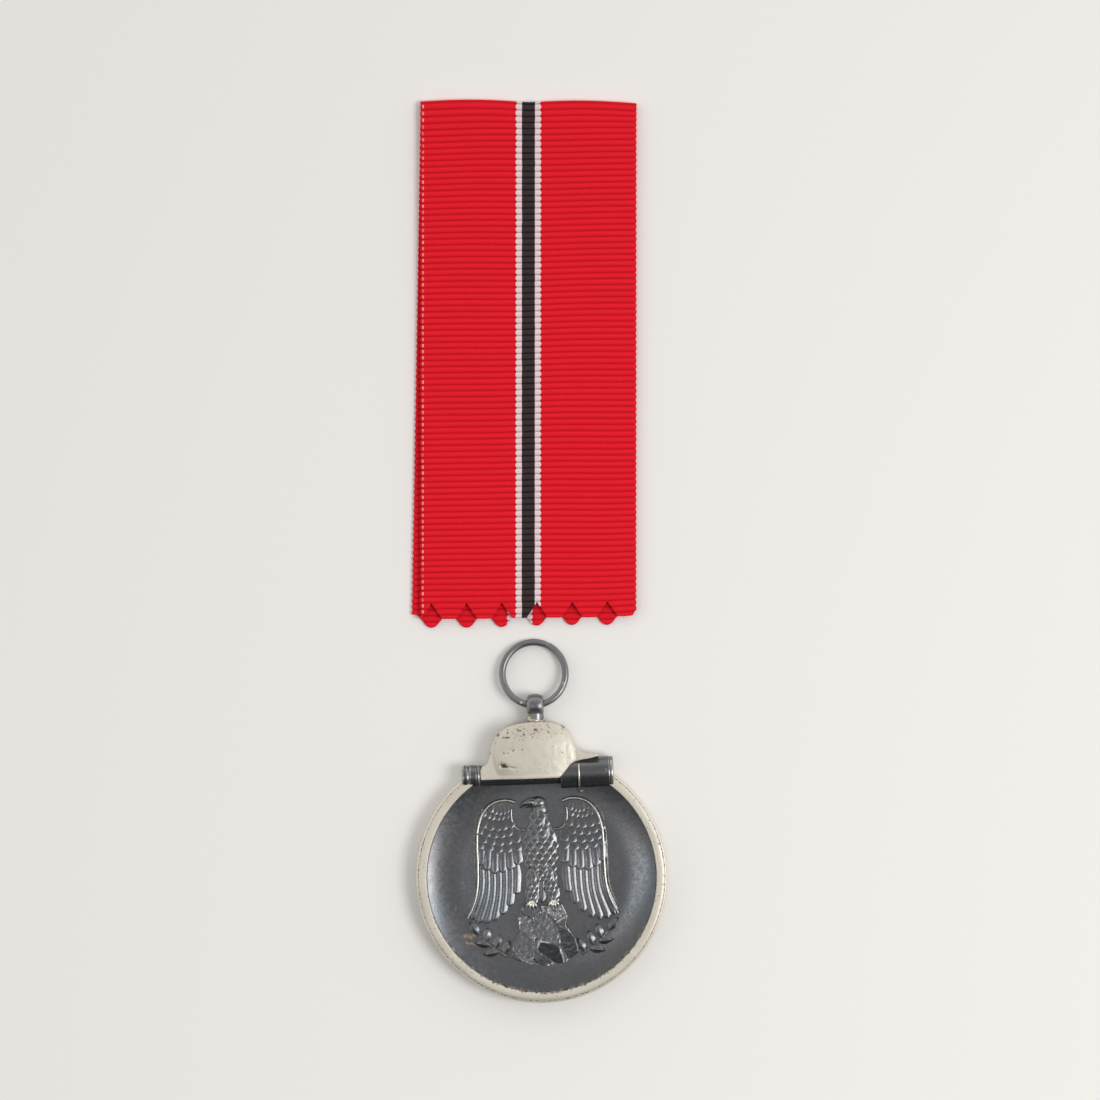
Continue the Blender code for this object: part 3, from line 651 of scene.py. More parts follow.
for side in (1, -1):
    half_bird = [prism(smooth_path(wing_ground, 3), FIELD_SINK, WING_Z - 0.05)]
    for k, (root, tip) in enumerate(zip(pinion_roots, pinion_tips)):
        middle = ((root[0] * 0.55 + tip[0] * 0.45) - 0.35 * (tip[0] - root[0]), (root[1] + tip[1]) / 2)
        line = smooth_path([root, middle, tip], 9)
        height = [WING_Z + 0.02, WING_Z + 0.16, WING_Z + 0.12 + 0.012 * k]
        half_bird.append(blade(line, PINION_HALF, height, 0.17, FIELD_SINK, rib=0.025, edge_rub=0.44))
    for k, (root, tip) in enumerate(zip(second_roots, second_tips)):
        line = smooth_path([root, ((root[0] + tip[0]) / 2 + 0.06, (root[1] + tip[1]) / 2), tip], 7)
        height = [WING_Z + 0.1, WING_Z + 0.27, WING_Z + 0.29 + 0.012 * k]
        half_bird.append(blade(line, SECOND_HALF, height, 0.17, FIELD_SINK, edge_rub=0.38))
    for line, height, radii, rub in (
        (wing_edge, WING_Z + 0.26, [0.2, 0.19, 0.18, 0.17, 0.14], 0.8),
        (shoulder_line, WING_Z + 0.2, [0.11, 0.12, 0.1], 0.7),
        (outer_line, FIELD_Z, [0.06, 0.09, 0.06], 0.5),
    ):
        half_bird.append(tube([(x, y, height) for x, y in smooth_path(line)], radii, rub=rub))
    bird_parts += [mirrored(part, side) for part in half_bird]

tail_half = feather_widths(1.15, root=0.6)
for tip_x, tip_y in ((-2.1, -3.2), (-1.1, -3.6), (0.0, -3.75), (1.1, -3.6), (2.1, -3.2)):
    line = smooth_path([(tip_x * 0.35, 0.4), (tip_x * 0.8, -1.6), (tip_x, tip_y)], 7)
    bird_parts.append(blade(line, tail_half, [2.1, 2.2, 2.12], 0.1, FIELD_SINK, rib=0.04))

TORSO_Y = [9.4, 8.2, 7.0, 5.8, 4.4, 3.0, 1.6, 0.4]
TORSO_HALF = [1.2, 1.2, 1.75, 2.35, 2.35, 2.15, 1.9, 1.5]
TORSO_TOP = [2.66, 2.66, 2.7, 2.74, 2.74, 2.7, 2.62, 2.5]
TORSO_CAMBER = 0.5


def torso_at(y):
    """The torso's half width and its top at a place along the disc's upright line."""
    down = [-t for t in TORSO_Y]
    return np.interp(-y, down, TORSO_HALF), np.interp(-y, down, TORSO_TOP)


torso_line = [(0.0, y) for y in np.linspace(TORSO_Y[0], TORSO_Y[-1], 30)]
torso_half, torso_top = zip(*[torso_at(y) for x, y in torso_line])
bird_parts.append(
    blade(torso_line, torso_half, torso_top, TORSO_CAMBER, FIELD_SINK, edge_rub=0.15, across=15)
)
LEG_LINE = [(0.95, 1.4), (1.35, -0.4), (1.5, -2.0), (1.55, -3.5)]
LEG_HALF = [0.75, 0.98, 0.9, 0.72, 0.5, 0.34]
LEG_TOP = [2.6, 2.72, 2.7, 2.6]
LEG_CAMBER = 0.42
ANKLE = (1.55, -3.35)
toe_reach = [(-0.72, -1.0), (-0.22, -1.25), (0.32, -1.2), (0.8, -0.85)]
for side in (1, -1):
    leg = [blade(smooth_path(LEG_LINE), LEG_HALF, LEG_TOP, LEG_CAMBER, FIELD_SINK, edge_rub=0.2, across=11)]
    for dx, dy in toe_reach:
        toe = [
            (ANKLE[0] + dx * 0.2, ANKLE[1], 2.62), (ANKLE[0] + dx * 0.7, ANKLE[1] + dy * 0.45, 2.86),
            (ANKLE[0] + dx, ANKLE[1] + dy, 2.72),
        ]
        leg.append(tube(smooth_path(toe, 5), [0.19, 0.24, 0.2, 0.08], sides=10, rub=1.2))
    bird_parts += [mirrored(part, side) for part in leg]


def cast(parts, voxel, smoothing):
    """Overlapping shapes run together into one skin, as in a casting. Millimetres."""
    points, faces = joined([(np.asarray(p)[:, :3], f) for p, f in parts])
    holder = bpy.data.objects.new("casting", mesh_from("casting", points, faces))
    bpy.context.scene.collection.objects.link(holder)
    skin = holder.modifiers.new("skin", "REMESH")
    skin.mode = "VOXEL"
    skin.voxel_size = voxel
    soften = holder.modifiers.new("soften", "SMOOTH")
    soften.iterations = smoothing
    graph = bpy.context.evaluated_depsgraph_get()
    mesh = bpy.data.meshes.new_from_object(holder.evaluated_get(graph))
    found = np.array([v.co for v in mesh.vertices])
    normals = np.array([v.normal for v in mesh.vertices])
    sides = [list(p.vertices) for p in mesh.polygons]
    bpy.data.objects.remove(holder)
    bpy.data.meshes.remove(mesh)
    return found, normals, sides


def ball(centre, size):
    """A sphere squashed to three half sizes."""
    rings = 12
    profile = [(math.sin(math.pi * k / rings), -math.cos(math.pi * k / rings)) for k in range(rings + 1)]
    profile[0], profile[-1] = (0.0, -1.0), (0.0, 1.0)
    points, faces = turned(profile, ring=False, steps=2 * rings)
    return points * np.array((*size, 1.0)) + np.array((*centre, 0.0)), faces


beak = smooth_path([(-1.3, 10.75, 2.2), (-2.0, 10.7, 2.2), (-2.5, 10.35, 2.15), (-2.62, 9.95, 2.1)])
lower_beak = smooth_path([(-1.3, 10.3, 2.2), (-1.8, 10.15, 2.15), (-2.15, 10.05, 2.1)])
brow_line = smooth_path([(-1.75, 11.1, 2.42), (-1.0, 11.25, 2.56), (-0.2, 11.1, 2.6)])
head = [
    ball((-0.15, 10.65, 2.1), (1.2, 0.95, 0.66)), ball((-1.0, 10.7, 2.15), (0.75, 0.62, 0.5)),
    ball((0.1, 9.6, 2.1), (1.15, 1.1, 0.58)),
    tube(beak, [0.5, 0.38, 0.24, 0.09]), tube(lower_beak, [0.3, 0.2, 0.1]),
    tube(brow_line, [0.12, 0.17, 0.1]),
    ball((-1.02, 10.78, 2.62), (0.17, 0.17, 0.12)),
]
skin_points, skin_normals, skin_faces = cast(head, 0.075, 2)
skin_rub = 0.15 + 0.3 * np.clip((skin_points[:, 2] - 2.45) / 0.25, 0, 1) * (skin_normals[:, 2] > 0.3)
bird_parts.append((np.column_stack([skin_points, skin_rub]), skin_faces))

small_half = feather_widths(1.0, root=0.8, round_from=0.5)
scale_half = [0.08, 0.3, 0.5, 0.3, 0.03]
FEATHER = template("small_feather", blade(straight(9), small_half, [0.0, 0.6, 1.0], 0.3, -0.9, edge_rub=0.42))
SCALE = template("breast_scale", blade(straight(9), scale_half, [0.2, 0.8, 1.0], 0.35, -0.8, edge_rub=0.62))
# Each row of coverts is its y, its nearest and farthest x, and the number of feathers.
covert_rows = [
    (10.55, 4.7, 6.9, 5), (9.8, 4.5, 7.8, 6), (8.85, 4.45, 8.35, 5), (7.8, 4.3, 8.45, 5),
    (6.7, 3.7, 8.5, 5), (5.7, 3.0, 8.5, 5),
]
coverts, scales = [], []
for side in (1, -1):
    for row, (y, x0, x1, count) in enumerate(covert_rows):
        for k in range(count):
            t = (k + 0.5 * (row % 2)) / (count - 0.5)
            x = x0 + (x1 - x0) * t
            sag = 0.45 * math.sin(math.pi * t) - 0.25 * t
            heading = -90 + (14 - 26 * (1 - t)) * side
            long, wide = (1.2, 0.8) if row < 2 else (1.75, 1.55)
            coverts.append((side * x, y - sag, WING_Z + 0.16 - 0.01 * row, heading, long, wide, 0.34))
for row in range(11):
    y = 9.3 - 0.82 * row
    half, top = torso_at(y)
    count = max(2, round(2 * half / 1.12))
    for k in range(count):
        x = half * 0.92 * (2 * (k + 0.5 * (row % 2)) / count - 1 + 0.5 / count)
        z = top - TORSO_CAMBER * (x / half) ** 2 - 0.06
        scales.append((x, y, z, -90 + 7 * x, 1.36, 1.3, 0.22))
leg_path = smooth_path(LEG_LINE, 5)
for side in (1, -1):
    for row in range(6):
        t = row / 6
        x, y = leg_path[int(t * (len(leg_path) - 1))]
        half = np.interp(t, np.linspace(0, 1, len(LEG_HALF)), LEG_HALF)
        top = np.interp(t, np.linspace(0, 1, len(LEG_TOP)), LEG_TOP)
        for v in ((-0.62, 0.0, 0.62) if row % 2 else (-0.32, 0.32)):
            z = top - LEG_CAMBER * v * v - 0.06
            scales.append((side * (x + v * half), y, z, -90 + 14 * v * side, 1.3, 0.9, 0.2))
bird = set_out("bird_relief", FEATHER, coverts, 0.07, BLACKENED)
breast = set_out("breast_relief", SCALE, scales, 0.05, BLACKENED)
bird = added_to(bird, bird_parts)
mounted("bird_relief", bird, BLACKENED, "medal", ["bird_emblem"])
mounted("bird_breast_scales", breast, BLACKENED, "medal")


# ---- Crag ----
# The bird's perch: a plain steep rock with cut facets, struck with the plate and rubbed on its ridges.
rock_copy = frame["nodes"]["perch_rock"].data.copy()
bm = bmesh.new()
bm.from_mesh(rock_copy)
bmesh.ops.remove_doubles(bm, verts=bm.verts, dist=0.001 * MM)
rock_points = to_mm([v.co for v in bm.verts])
rock_faces = [[v.index for v in f.verts] for f in bm.faces]
bm.free()
ROCK_TOP = rock_points[:, 2].max()
points, normals, faces = cast([(rock_points, rock_faces)], 0.085, 3)
carved, rub = points.copy(), np.zeros(len(points))
for i, (x, y, z) in enumerate(points):
    if z < FIELD_Z + 0.12:
        continue
    across, up = x * 0.42 + 0.12 * y + 3.1, y * 0.3 + 1.7
    near_cell, cells = noise.voronoi(Vector((across, up, 0.3)))
    spot = cells[0]
    lean = Vector((math.sin(7.3 * spot.x + 2.1 * spot.y), math.cos(5.1 * spot.x - 3.7 * spot.y)))
    plane = lean.x * (across - spot.x) + lean.y * (up - spot.y)
    ridge = near_cell[1] - near_cell[0]
    grit = noise.fractal(Vector((x, y, 0.0)) * 1.9, 0.9, 2.1, 4)
    depth = 0.16 + 0.6 * plane + 0.1 * math.sin(9.0 * spot.x) + 0.02 * grit
    edge = min(1.0, (z - FIELD_Z) / (ROCK_TOP - FIELD_Z))
    carved[i, 2] = z - max(-0.04, depth) * edge
    brow = math.exp(-(((normals[i, 2] - 0.72) / 0.16) ** 2)) * edge**2
    crest = 0.6 * math.exp(-((ridge / 0.07) ** 2)) * (depth < 0.22)
    rub[i] = (0.06 + crest) * (normals[i, 2] > 0.4) + 0.5 * brow
metal_piece(
    "perch_crag", [(np.column_stack([carved, rub]), faces)], BLACKENED, ["perch_rock"],
    crease=60,
)


# ---- Crossbar ----
# A turned bar across the head of the disc, in three blackened pieces: a short cap with grooves, a
# slim rod under the helmet, and a thicker barrel. The ends are rubbed down to brassy metal.
barrel_low, barrel_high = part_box("crossbar_barrel")
cap_low, cap_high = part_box("crossbar_cap")
rod_low, rod_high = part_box("crossbar_rod")
BAR_Y = (barrel_low.y + barrel_high.y - 2 * DISC.y) / 2 / MM
BAR_Z = barrel_high.z / MM / 2
BAR_FLATTEN = (barrel_high.z - barrel_low.z) / (barrel_high.y - barrel_low.y)


def turned_bar(profile, place, flatten):
    """A profile of (x, radius, rub) turned about an axis along X."""
    rows = [(radius, x, rub) for x, radius, rub in profile]
    points, faces = turned(rows, ring=False, steps=72)
    laid = np.column_stack(
        [points[:, 2], place[0] + points[:, 0], place[1] + points[:, 1] * flatten, points[:, 3]]
    )
    return laid, faces


def grooved(x0, x1, radius, grooves, rub_low, rub_high):
    """Half section of a bar with rounded ends and grooves (place, width, depth)."""
    edge = 0.28
    rows = [(x0, 0.0, rub_low * 0.5), (x0, radius - edge, rub_low)]
    for k in range(1, 6):
        a = math.pi / 2 * k / 5
        rows.append((x0 + edge * (1 - math.cos(a)), radius - edge * (1 - math.sin(a)), rub_low))
    body = np.linspace(x0 + edge, x1 - edge, max(12, int((x1 - x0) / 0.09)))
    for x in body[1:-1]:
        dip = sum(depth * math.exp(-(((x - place) / width) ** 2)) for place, width, depth in grooves)
        lip = sum(math.exp(-(((abs(x - place) - 2 * width) / width) ** 2)) for place, width, depth in grooves)
        rows.append((x, radius - dip, min(0.75, 0.6 * lip)))
    for k in range(5, 0, -1):
        a = math.pi / 2 * k / 5
        rows.append((x1 - edge * (1 - math.cos(a)), radius - edge * (1 - math.sin(a)), rub_high))
    return rows + [(x1, radius - edge, rub_high), (x1, 0.0, rub_high * 0.5)]


def bar_grime(points):
    """A worn spot on the cap and one on the barrel, and a line along the rod on its foot side."""
    spots = [
        (cap_low.x / MM + 0.5, BAR_Y + 0.5, 0.9, 0.45), (barrel_high.x / MM - 0.8, BAR_Y + 0.3, 1.0, 0.46),
    ]
    line = np.exp(-(((points[:, 1] - BAR_Y + 0.75) / 0.22) ** 2)) * (points[:, 2] > BAR_Z)
    return near(points, spots) + 0.33 * line * (points[:, 0] < barrel_low.x / MM)


cap_grooves = [(cap_high.x / MM - 0.42, 0.07, 0.16), (cap_low.x / MM + 0.95, 0.12, 0.12)]
barrel_grooves = [(barrel_high.x / MM - 0.5, 0.07, 0.09)]
for name, low, high, grooves, rubs in (
    ("crossbar_cap", cap_low, cap_high, cap_grooves, (0.5, 0.5)),
    ("crossbar_rod", rod_low, rod_high, [], (0.0, 0.0)),
    ("crossbar_barrel", barrel_low, barrel_high, barrel_grooves, (0.0, 0.5)),
):
    radius = (high.y - low.y) / 2 / MM
    profile = grooved(low.x / MM, high.x / MM, radius, grooves, *rubs)
    laid, faces = turned_bar(profile, (BAR_Y, BAR_Z), BAR_FLATTEN)
    # Over the disc the bar's back is flat and inside the disc, so that none of it shows behind.
    over_disc = np.hypot(laid[:, 0], laid[:, 1]) < DISC_R - 0.1
    laid[over_disc, 2] = np.maximum(laid[over_disc, 2], BACK_Z + 0.35)
    metal_piece(f"{name}_turned", [(laid, faces)], BLACKENED, [name], grime=bar_grime)

# A wire strap is bent over the barrel, and its foot is turned out and soldered to the field.
strap_low, strap_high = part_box("barrel_strap")
STRAP_R = 0.17
STRAP_X = strap_low.x / MM + 0.19
BARREL_R = (barrel_high.y - barrel_low.y) / 2 / MM
strap_path = []
for degrees in range(58, 166, 6):
    a = math.radians(degrees)
    reach = BARREL_R + STRAP_R
    rise = reach * BAR_FLATTEN + 0.03
    strap_path.append((STRAP_X, BAR_Y + reach * math.cos(a), BAR_Z + rise * math.sin(a)))
foot_y = BAR_Y - BARREL_R - 0.32
strap_path += [(STRAP_X + 0.05, foot_y, FIELD_Z + 0.4), (STRAP_X + 0.2, foot_y - 0.2, FIELD_Z + 0.2),
               (strap_high.x / MM - 0.15, foot_y - 0.12, FIELD_Z + 0.2)]
metal_piece(
    "strap_wire", [tube(smooth_path(strap_path, 3), [STRAP_R], rub=0.95)], BLACKENED,
    ["barrel_strap"],
)


# ---- Helmet ----
# A cast helmet in side view, frosted and silvered like the rim: a raised skull, a flared brim below
# it and a peak that lies on the barrel. The coating is pitted at the back of the skull.
helmet_low, helmet_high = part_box("helmet")
HELMET_TOP = helmet_high.z / MM
HELMET_BACK = helmet_low.z / MM
helmet_outline = [
    (-8.15, -0.5), (-8.1, 1.0), (-7.2, 1.75), (-6.7, 3.2), (-6.35, 4.6), (-5.6, 5.9), (-4.2, 6.85),
    (-2.0, 7.4), (0.4, 7.5), (2.4, 7.3), (4.0, 6.6), (5.0, 5.2), (5.5, 3.8), (6.3, 2.95), (7.6, 2.6),
    (8.9, 2.45), (7.6, 2.05), (6.2, 1.85), (4.9, 1.4), (4.0, 0.4), (3.1, -0.55),
]
BRIM_Z = 3.32
slab = prism([(x, BAR_Y + y) for x, y in smooth_path(helmet_outline, 4)], HELMET_BACK, BRIM_Z)
points, normals, faces = cast([slab], 0.1, 6)
raised = points.copy()
front_side = np.clip((points[:, 2] - 2.0) / 1.1, 0, 1)
skull_x = (points[:, 0] + 0.55) / np.where(points[:, 0] < -0.55, 5.75, 6.0)
skull_y = (points[:, 1] - BAR_Y - 2.9) / np.where(points[:, 1] > BAR_Y + 2.9, 5.3, 6.2)
skull = np.clip(1 - skull_x**2 - skull_y**2, 0, 1)
low_down = np.clip((BAR_Y + 3.0 - points[:, 1]) / 3.0, 0, 1) ** 2
to_left = np.clip((-2.0 - points[:, 0]) / 3.5, 0, 1) ** 2
step = np.clip(skull / 0.1, 0, 1) * np.clip((-3.4 - points[:, 0]) / 2.2, 0, 1) * (1 - low_down)
raised[:, 2] += (1.02 * skull**0.62 * (1 - 0.8 * low_down * to_left) + 0.16 * step) * front_side
peak = np.clip((points[:, 0] - 4.2) / 4.3, 0, 1)
raised[:, 2] += 0.5 * peak * front_side
hem = np.exp(-(((points[:, 1] - BAR_Y + 0.3) / 0.22) ** 2)) * (points[:, 0] < 3.6)
raised[:, 2] += 0.07 * hem * front_side
nick = np.exp(-(((points[:, 0] + 4.84) / 0.42) ** 2) - ((points[:, 1] - 16.25) / 0.24) ** 2)
trail_y = 16.2 - 0.22 * (points[:, 0] + 4.84)
trail = np.exp(-(((points[:, 1] - trail_y) / 0.12) ** 2)) * np.clip((points[:, 0] + 5.0) / 0.3, 0, 1)
trail = trail * np.clip((-2.8 - points[:, 0]) / 0.5, 0, 1)
raised[:, 2] -= (0.4 * nick + 0.16 * trail) * front_side
for i, (x, y, z) in enumerate(points):
    raised[i, 2] += 0.02 * noise.fractal(Vector((x, y, 0.0)) * 1.1, 1.0, 2.0, 3) * front_side[i]
raised[:, 2] = np.minimum(raised[:, 2], HELMET_TOP)
helmet_rub = 0.1 + 0.5 * np.exp(-(((points[:, 1] - BAR_Y + 0.45) / 0.2) ** 2)) * (points[:, 0] < 3.3)


def helmet_spots_and_shade(at):
    """The spots in the silver of the crown, and painted shade low on its wall."""
    spots = [
        (-4.2, 20.5, 1.4, 0.24), (-2.4, 21.0, 1.5, 0.24), (-0.4, 21.2, 1.4, 0.23), (-5.0, 18.8, 1.0, 0.18),
        (-3.6, 18.5, 0.8, 0.2), (-2.0, 18.6, 0.5, 0.22), (1.6, 20.9, 1.3, 0.21), (3.9, 21.5, 0.4, 0.5),
        (3.6, 17.9, 0.28, 0.3), (-4.84, 16.25, 0.34, 0.9), (-4.3, 16.08, 0.17, 0.8), (-3.6, 15.93, 0.11, 0.5),
        (-5.6, 20.6, 0.5, 0.4), (-6.6, 18.0, 0.25, 0.4),
    ]
    # Painted shade: the wall is darkened the lower it lies, toward the field.
    wall = np.clip((2.7 - at[:, 2]) / 0.9, 0, 1) * (at[:, 1] > BAR_Y + 1)
    return near(at, spots) + 0.18 + 0.16 * wall


metal_piece(
    "helmet_cast", [(np.column_stack([raised, helmet_rub]), faces)], FROSTED_SILVER,
    ["helmet"], grime=helmet_spots_and_shade, crease=70,
)


# ---- Eyelet ----
# A fat little steel loop on the helmet's crown, its stem soldered in; the solder has run out around
# the stem in shiny beads.
_, eyelet_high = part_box("eyelet")
LOOP_R, BORE_R = 1.637, 0.837
EYELET_Z = eyelet_high.z / MM - LOOP_R
EYELET_Y = (eyelet_high.y - DISC.y) / MM - LOOP_R
EYELET_HALF = eyelet_high.x / MM
ring_section = [
    (BORE_R + 0.06, -EYELET_HALF + 0.1, 0.2), (BORE_R, -EYELET_HALF + 0.3), (BORE_R, EYELET_HALF - 0.3),
    (BORE_R + 0.06, EYELET_HALF - 0.1, 0.2),
]
for k in range(19):
    a = math.pi * (0.03 + 0.94 * k / 18)
    rub = 0.45 if k in (2, 3, 15, 16) else 0.1
    radius = BORE_R + 0.1 + (LOOP_R - BORE_R - 0.1) * math.sin(a) ** 0.75
    ring_section.append((radius, EYELET_HALF * math.cos(a), rub))
points, faces = turned(ring_section, ring=True, steps=72)
loop = np.column_stack([points[:, 2], EYELET_Y + points[:, 0], EYELET_Z + points[:, 1], points[:, 3]])
stem_path = [(0.0, EYELET_Y - y, EYELET_Z) for y in (1.0, 1.4, 1.9, 2.4, 3.2)]
# Its bright colour shows rubbed wear, and on the inside of the ring a painted highlight.
RING_STEEL = worn_metal(
    "ring_steel", (0.185, 0.18, 0.188), (0.22, 0.212, 0.22), (0.62, 0.60, 0.58), (0.075, 0.06, 0.05),
    metallic=0.9, roughness=0.33, grain=1900.0, pit=0.2,
)
SOLDER = worn_metal(
    "solder", (0.52, 0.50, 0.46), (0.46, 0.41, 0.31), (0.90, 0.88, 0.84), (0.22, 0.17, 0.09),
    metallic=0.9, roughness=0.24, grain=1600.0, pit=0.3,
)
metal_piece(
    "eyelet_loop", [(loop, faces), tube(stem_path, [1.17, 1.17, 1.05], sides=28)], RING_STEEL,
    ["eyelet"],
)
beads = [
    ball((-0.72, 22.7, 2.2), (0.55, 0.66, 0.66)), ball((-0.25, 22.45, 2.45), (0.8, 0.36, 0.5)),
    ball((0.55, 22.35, 2.4), (0.6, 0.26, 0.36)), ball((1.12, 22.55, 1.9), (0.26, 0.34, 0.4)),
    ball((-1.02, 23.1, 1.8), (0.24, 0.5, 0.5)), ball((0.1, 22.35, 1.6), (1.2, 0.4, 0.7)),
]
points, normals, faces = cast(beads, 0.07, 2)
metal_piece("solder_beads", [(np.column_stack([points, np.full(len(points), 0.3)]), faces)], SOLDER,
            grime=lambda at: near(at, [(-0.55, 23.0, 0.4, 0.55), (-0.2, 22.8, 0.3, 0.5)]))


# ---- Suspension ring ----
# Round wire bent to a ring and closed with a fine slit. It hangs through the eyelet, and its far
# side has dropped to the ground.
ring_low, ring_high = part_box("suspension_ring")
swing = next(j for j in frame["joints"] if j["name"] == "ring_swing")
WIRE_R = 0.475
RING_R = (ring_high.x - ring_low.x) / 2 / MM - WIRE_R
RING_TILT = math.asin((ring_high.z - ring_low.z - 2 * WIRE_R * MM) / (2 * RING_R * MM))
SLIT_AT, SLIT = math.radians(64), 0.12
hinge = to_mm([swing["pos_m"]])[0]
ring_path = []
for t in np.linspace(0, 1, 145):
    a = SLIT_AT + SLIT / RING_R / 2 + t * (2 * math.pi - SLIT / RING_R)
    far = RING_R * (1 + math.sin(a))
    y, z = hinge[1] + far * math.cos(RING_TILT), hinge[2] - far * math.sin(RING_TILT)
    ring_path.append((RING_R * math.cos(a), y, z))
points, faces = tube(ring_path, [WIRE_R * 0.97] + [WIRE_R] * 60 + [WIRE_R * 0.97], sides=24)
centre = np.array((0.0, hinge[1] + RING_R))
# Painted highlight: a bright band along the inside of the wire, stored as rub.
inward = (RING_R - np.hypot(points[:, 0], points[:, 1] - centre[1])) / WIRE_R
points[:, 3] = 0.3 * np.exp(-(((inward - 0.55) / 0.3) ** 2))
ends = np.abs(np.arctan2(points[:, 1] - centre[1], points[:, 0]) - SLIT_AT) < 0.035
points[:, 3] = np.maximum(points[:, 3], 0.5 * ends)
nicks = near(points, [(-1.95, hinge[1] + 0.45, 0.22, 1.2), (4.2, hinge[1] + 3.0, 0.3, 0.5)])
points[:, 3] = np.maximum(points[:, 3], nicks)
metal_piece("split_ring", [(points, faces)], RING_STEEL, ["suspension_ring"], body="ring",
            grime=lambda at: np.full(len(at), 0.12))


# ---- Ribbon ----
# One length of ribbed ribbon, folded double: red, with a black middle stripe between two white
# ones, woven over cords that make the ribs. Both ends are pinked, and it is creased a little askew,
# so that the lower leaf shows along one side.
unfold = next(j for j in frame["joints"] if j["name"] == "ribbon_unfold")
RIBBON_W = 30.8
UPPER_L, LOWER_L = 73.6, 74.9
LEAF_SLANT = math.radians(0.475)
RIB_PITCH = 0.871
RIB_RISE = 0.11
WEFT_LEAN = math.radians(1.5)
CORE_HALF = 0.085
FOLD_R = 0.315
crease_dir = -Vector(unfold["axis"])
outward = Vector((-crease_dir.y, crease_dir.x, 0.0))
fold_z = unfold["pos_m"][2] / MM
crease_at = Vector(unfold["pos_m"]) / MM - outward * 0.535
PINK_PITCH, PINK_DEPTH, PINK_START = 5.05, 2.0, 1.5
NOTCH_HALF, TOOTH_HALF = 1.5, 2.45
fold_length = math.pi * FOLD_R


def ribbon_end(across, upper):
    """How far the pinked end is cut back: broad lobes with notches above, rounded teeth below."""
    start = PINK_START + (0.0 if upper else PINK_PITCH / 2 + 2 * math.tan(LEAF_SLANT) * UPPER_L)
    share = ((across + RIBBON_W / 2 - start) / PINK_PITCH) % 1.0
    off = PINK_PITCH * min(share, 1 - share)
    if upper:
        lobe = 0.3 * (1 - off / (PINK_PITCH / 2)) ** 2
        return PINK_DEPTH * max(0.0, 1 - off / NOTCH_HALF) + lobe
    from_tip = min(1.0, (PINK_PITCH / 2 - off) / TOOTH_HALF)
    return PINK_DEPTH * (0.5 - 0.5 * math.cos(math.pi * from_tip))


def column_places():
    """Places across the ribbon, closer at the selvedges and along the stripes."""
    half = RIBBON_W / 2
    stripes = [-1.86, -1.4, -0.92, 0.0, 0.92, 1.4, 1.86]
    left = list(np.linspace(-half + 0.45, -1.86, 14))[:-1]
    right = [-x for x in reversed(left)]
    return [-half, -half + 0.12] + left + stripes + right + [half - 0.12, half]


ROWS_PER_RIB = 6
END_ZONE = 5 * RIB_PITCH
COLUMNS = column_places()
END_SPLIT = 4
total_length = LOWER_L + fold_length + UPPER_L


def ribbon_point(across, along):
    """Middle of the cloth at a place across and along: lower leaf, fold, upper leaf."""
    wave = 0.05 * math.sin(0.11 * along + 0.2 * across) + 0.04 * math.sin(0.37 * across + 0.05 * along)
    if along < LOWER_L:
        far, turn = LOWER_L - along, 0.0
        skew = -math.tan(LEAF_SLANT) * far
        reach, height = -far, fold_z - FOLD_R
        normal = (0.0, -1.0)
    elif along > LOWER_L + fold_length:
        far = along - LOWER_L - fold_length
        skew = math.tan(LEAF_SLANT) * far
        reach, height = -far, fold_z + FOLD_R
        normal = (0.0, 1.0)
    else:
        turn = (along - LOWER_L) / FOLD_R - math.pi / 2
        skew = 0.0
        reach, height = FOLD_R * math.cos(turn), fold_z + FOLD_R * math.sin(turn)
        normal = (math.cos(turn), math.sin(turn))
    fold_near = math.exp(-(((along - LOWER_L - fold_length / 2) / 3.0) ** 2))
    bow = 0.32 * math.cos(math.pi * (abs(across) / (RIBBON_W / 2) - 0.5)) * fold_near
    at_edge = max(0.0, 2 * abs(across) / RIBBON_W - 0.96) / 0.04
    edge_bulge = 0.08 * abs(math.sin(math.pi * along / RIB_PITCH)) * at_edge
    sideways = across + skew + math.copysign(edge_bulge, across)
    # The weft leans a little, except at the crease, where the cloth bends on a straight line.
    lengthways = reach + bow + (wave + math.tan(WEFT_LEAN) * across) * (1 - fold_near)
    flat_spot = crease_at + crease_dir * sideways + outward * lengthways
    return Vector((flat_spot.x, flat_spot.y, height)), (outward * normal[0] + Vector((0, 0, normal[1])))


def cloth_rows():
    """Distances along the cloth between the two end zones."""
    count = int(round((total_length - 2 * END_ZONE) / RIB_PITCH * ROWS_PER_RIB))
    return np.linspace(END_ZONE, total_length - END_ZONE, count + 1)


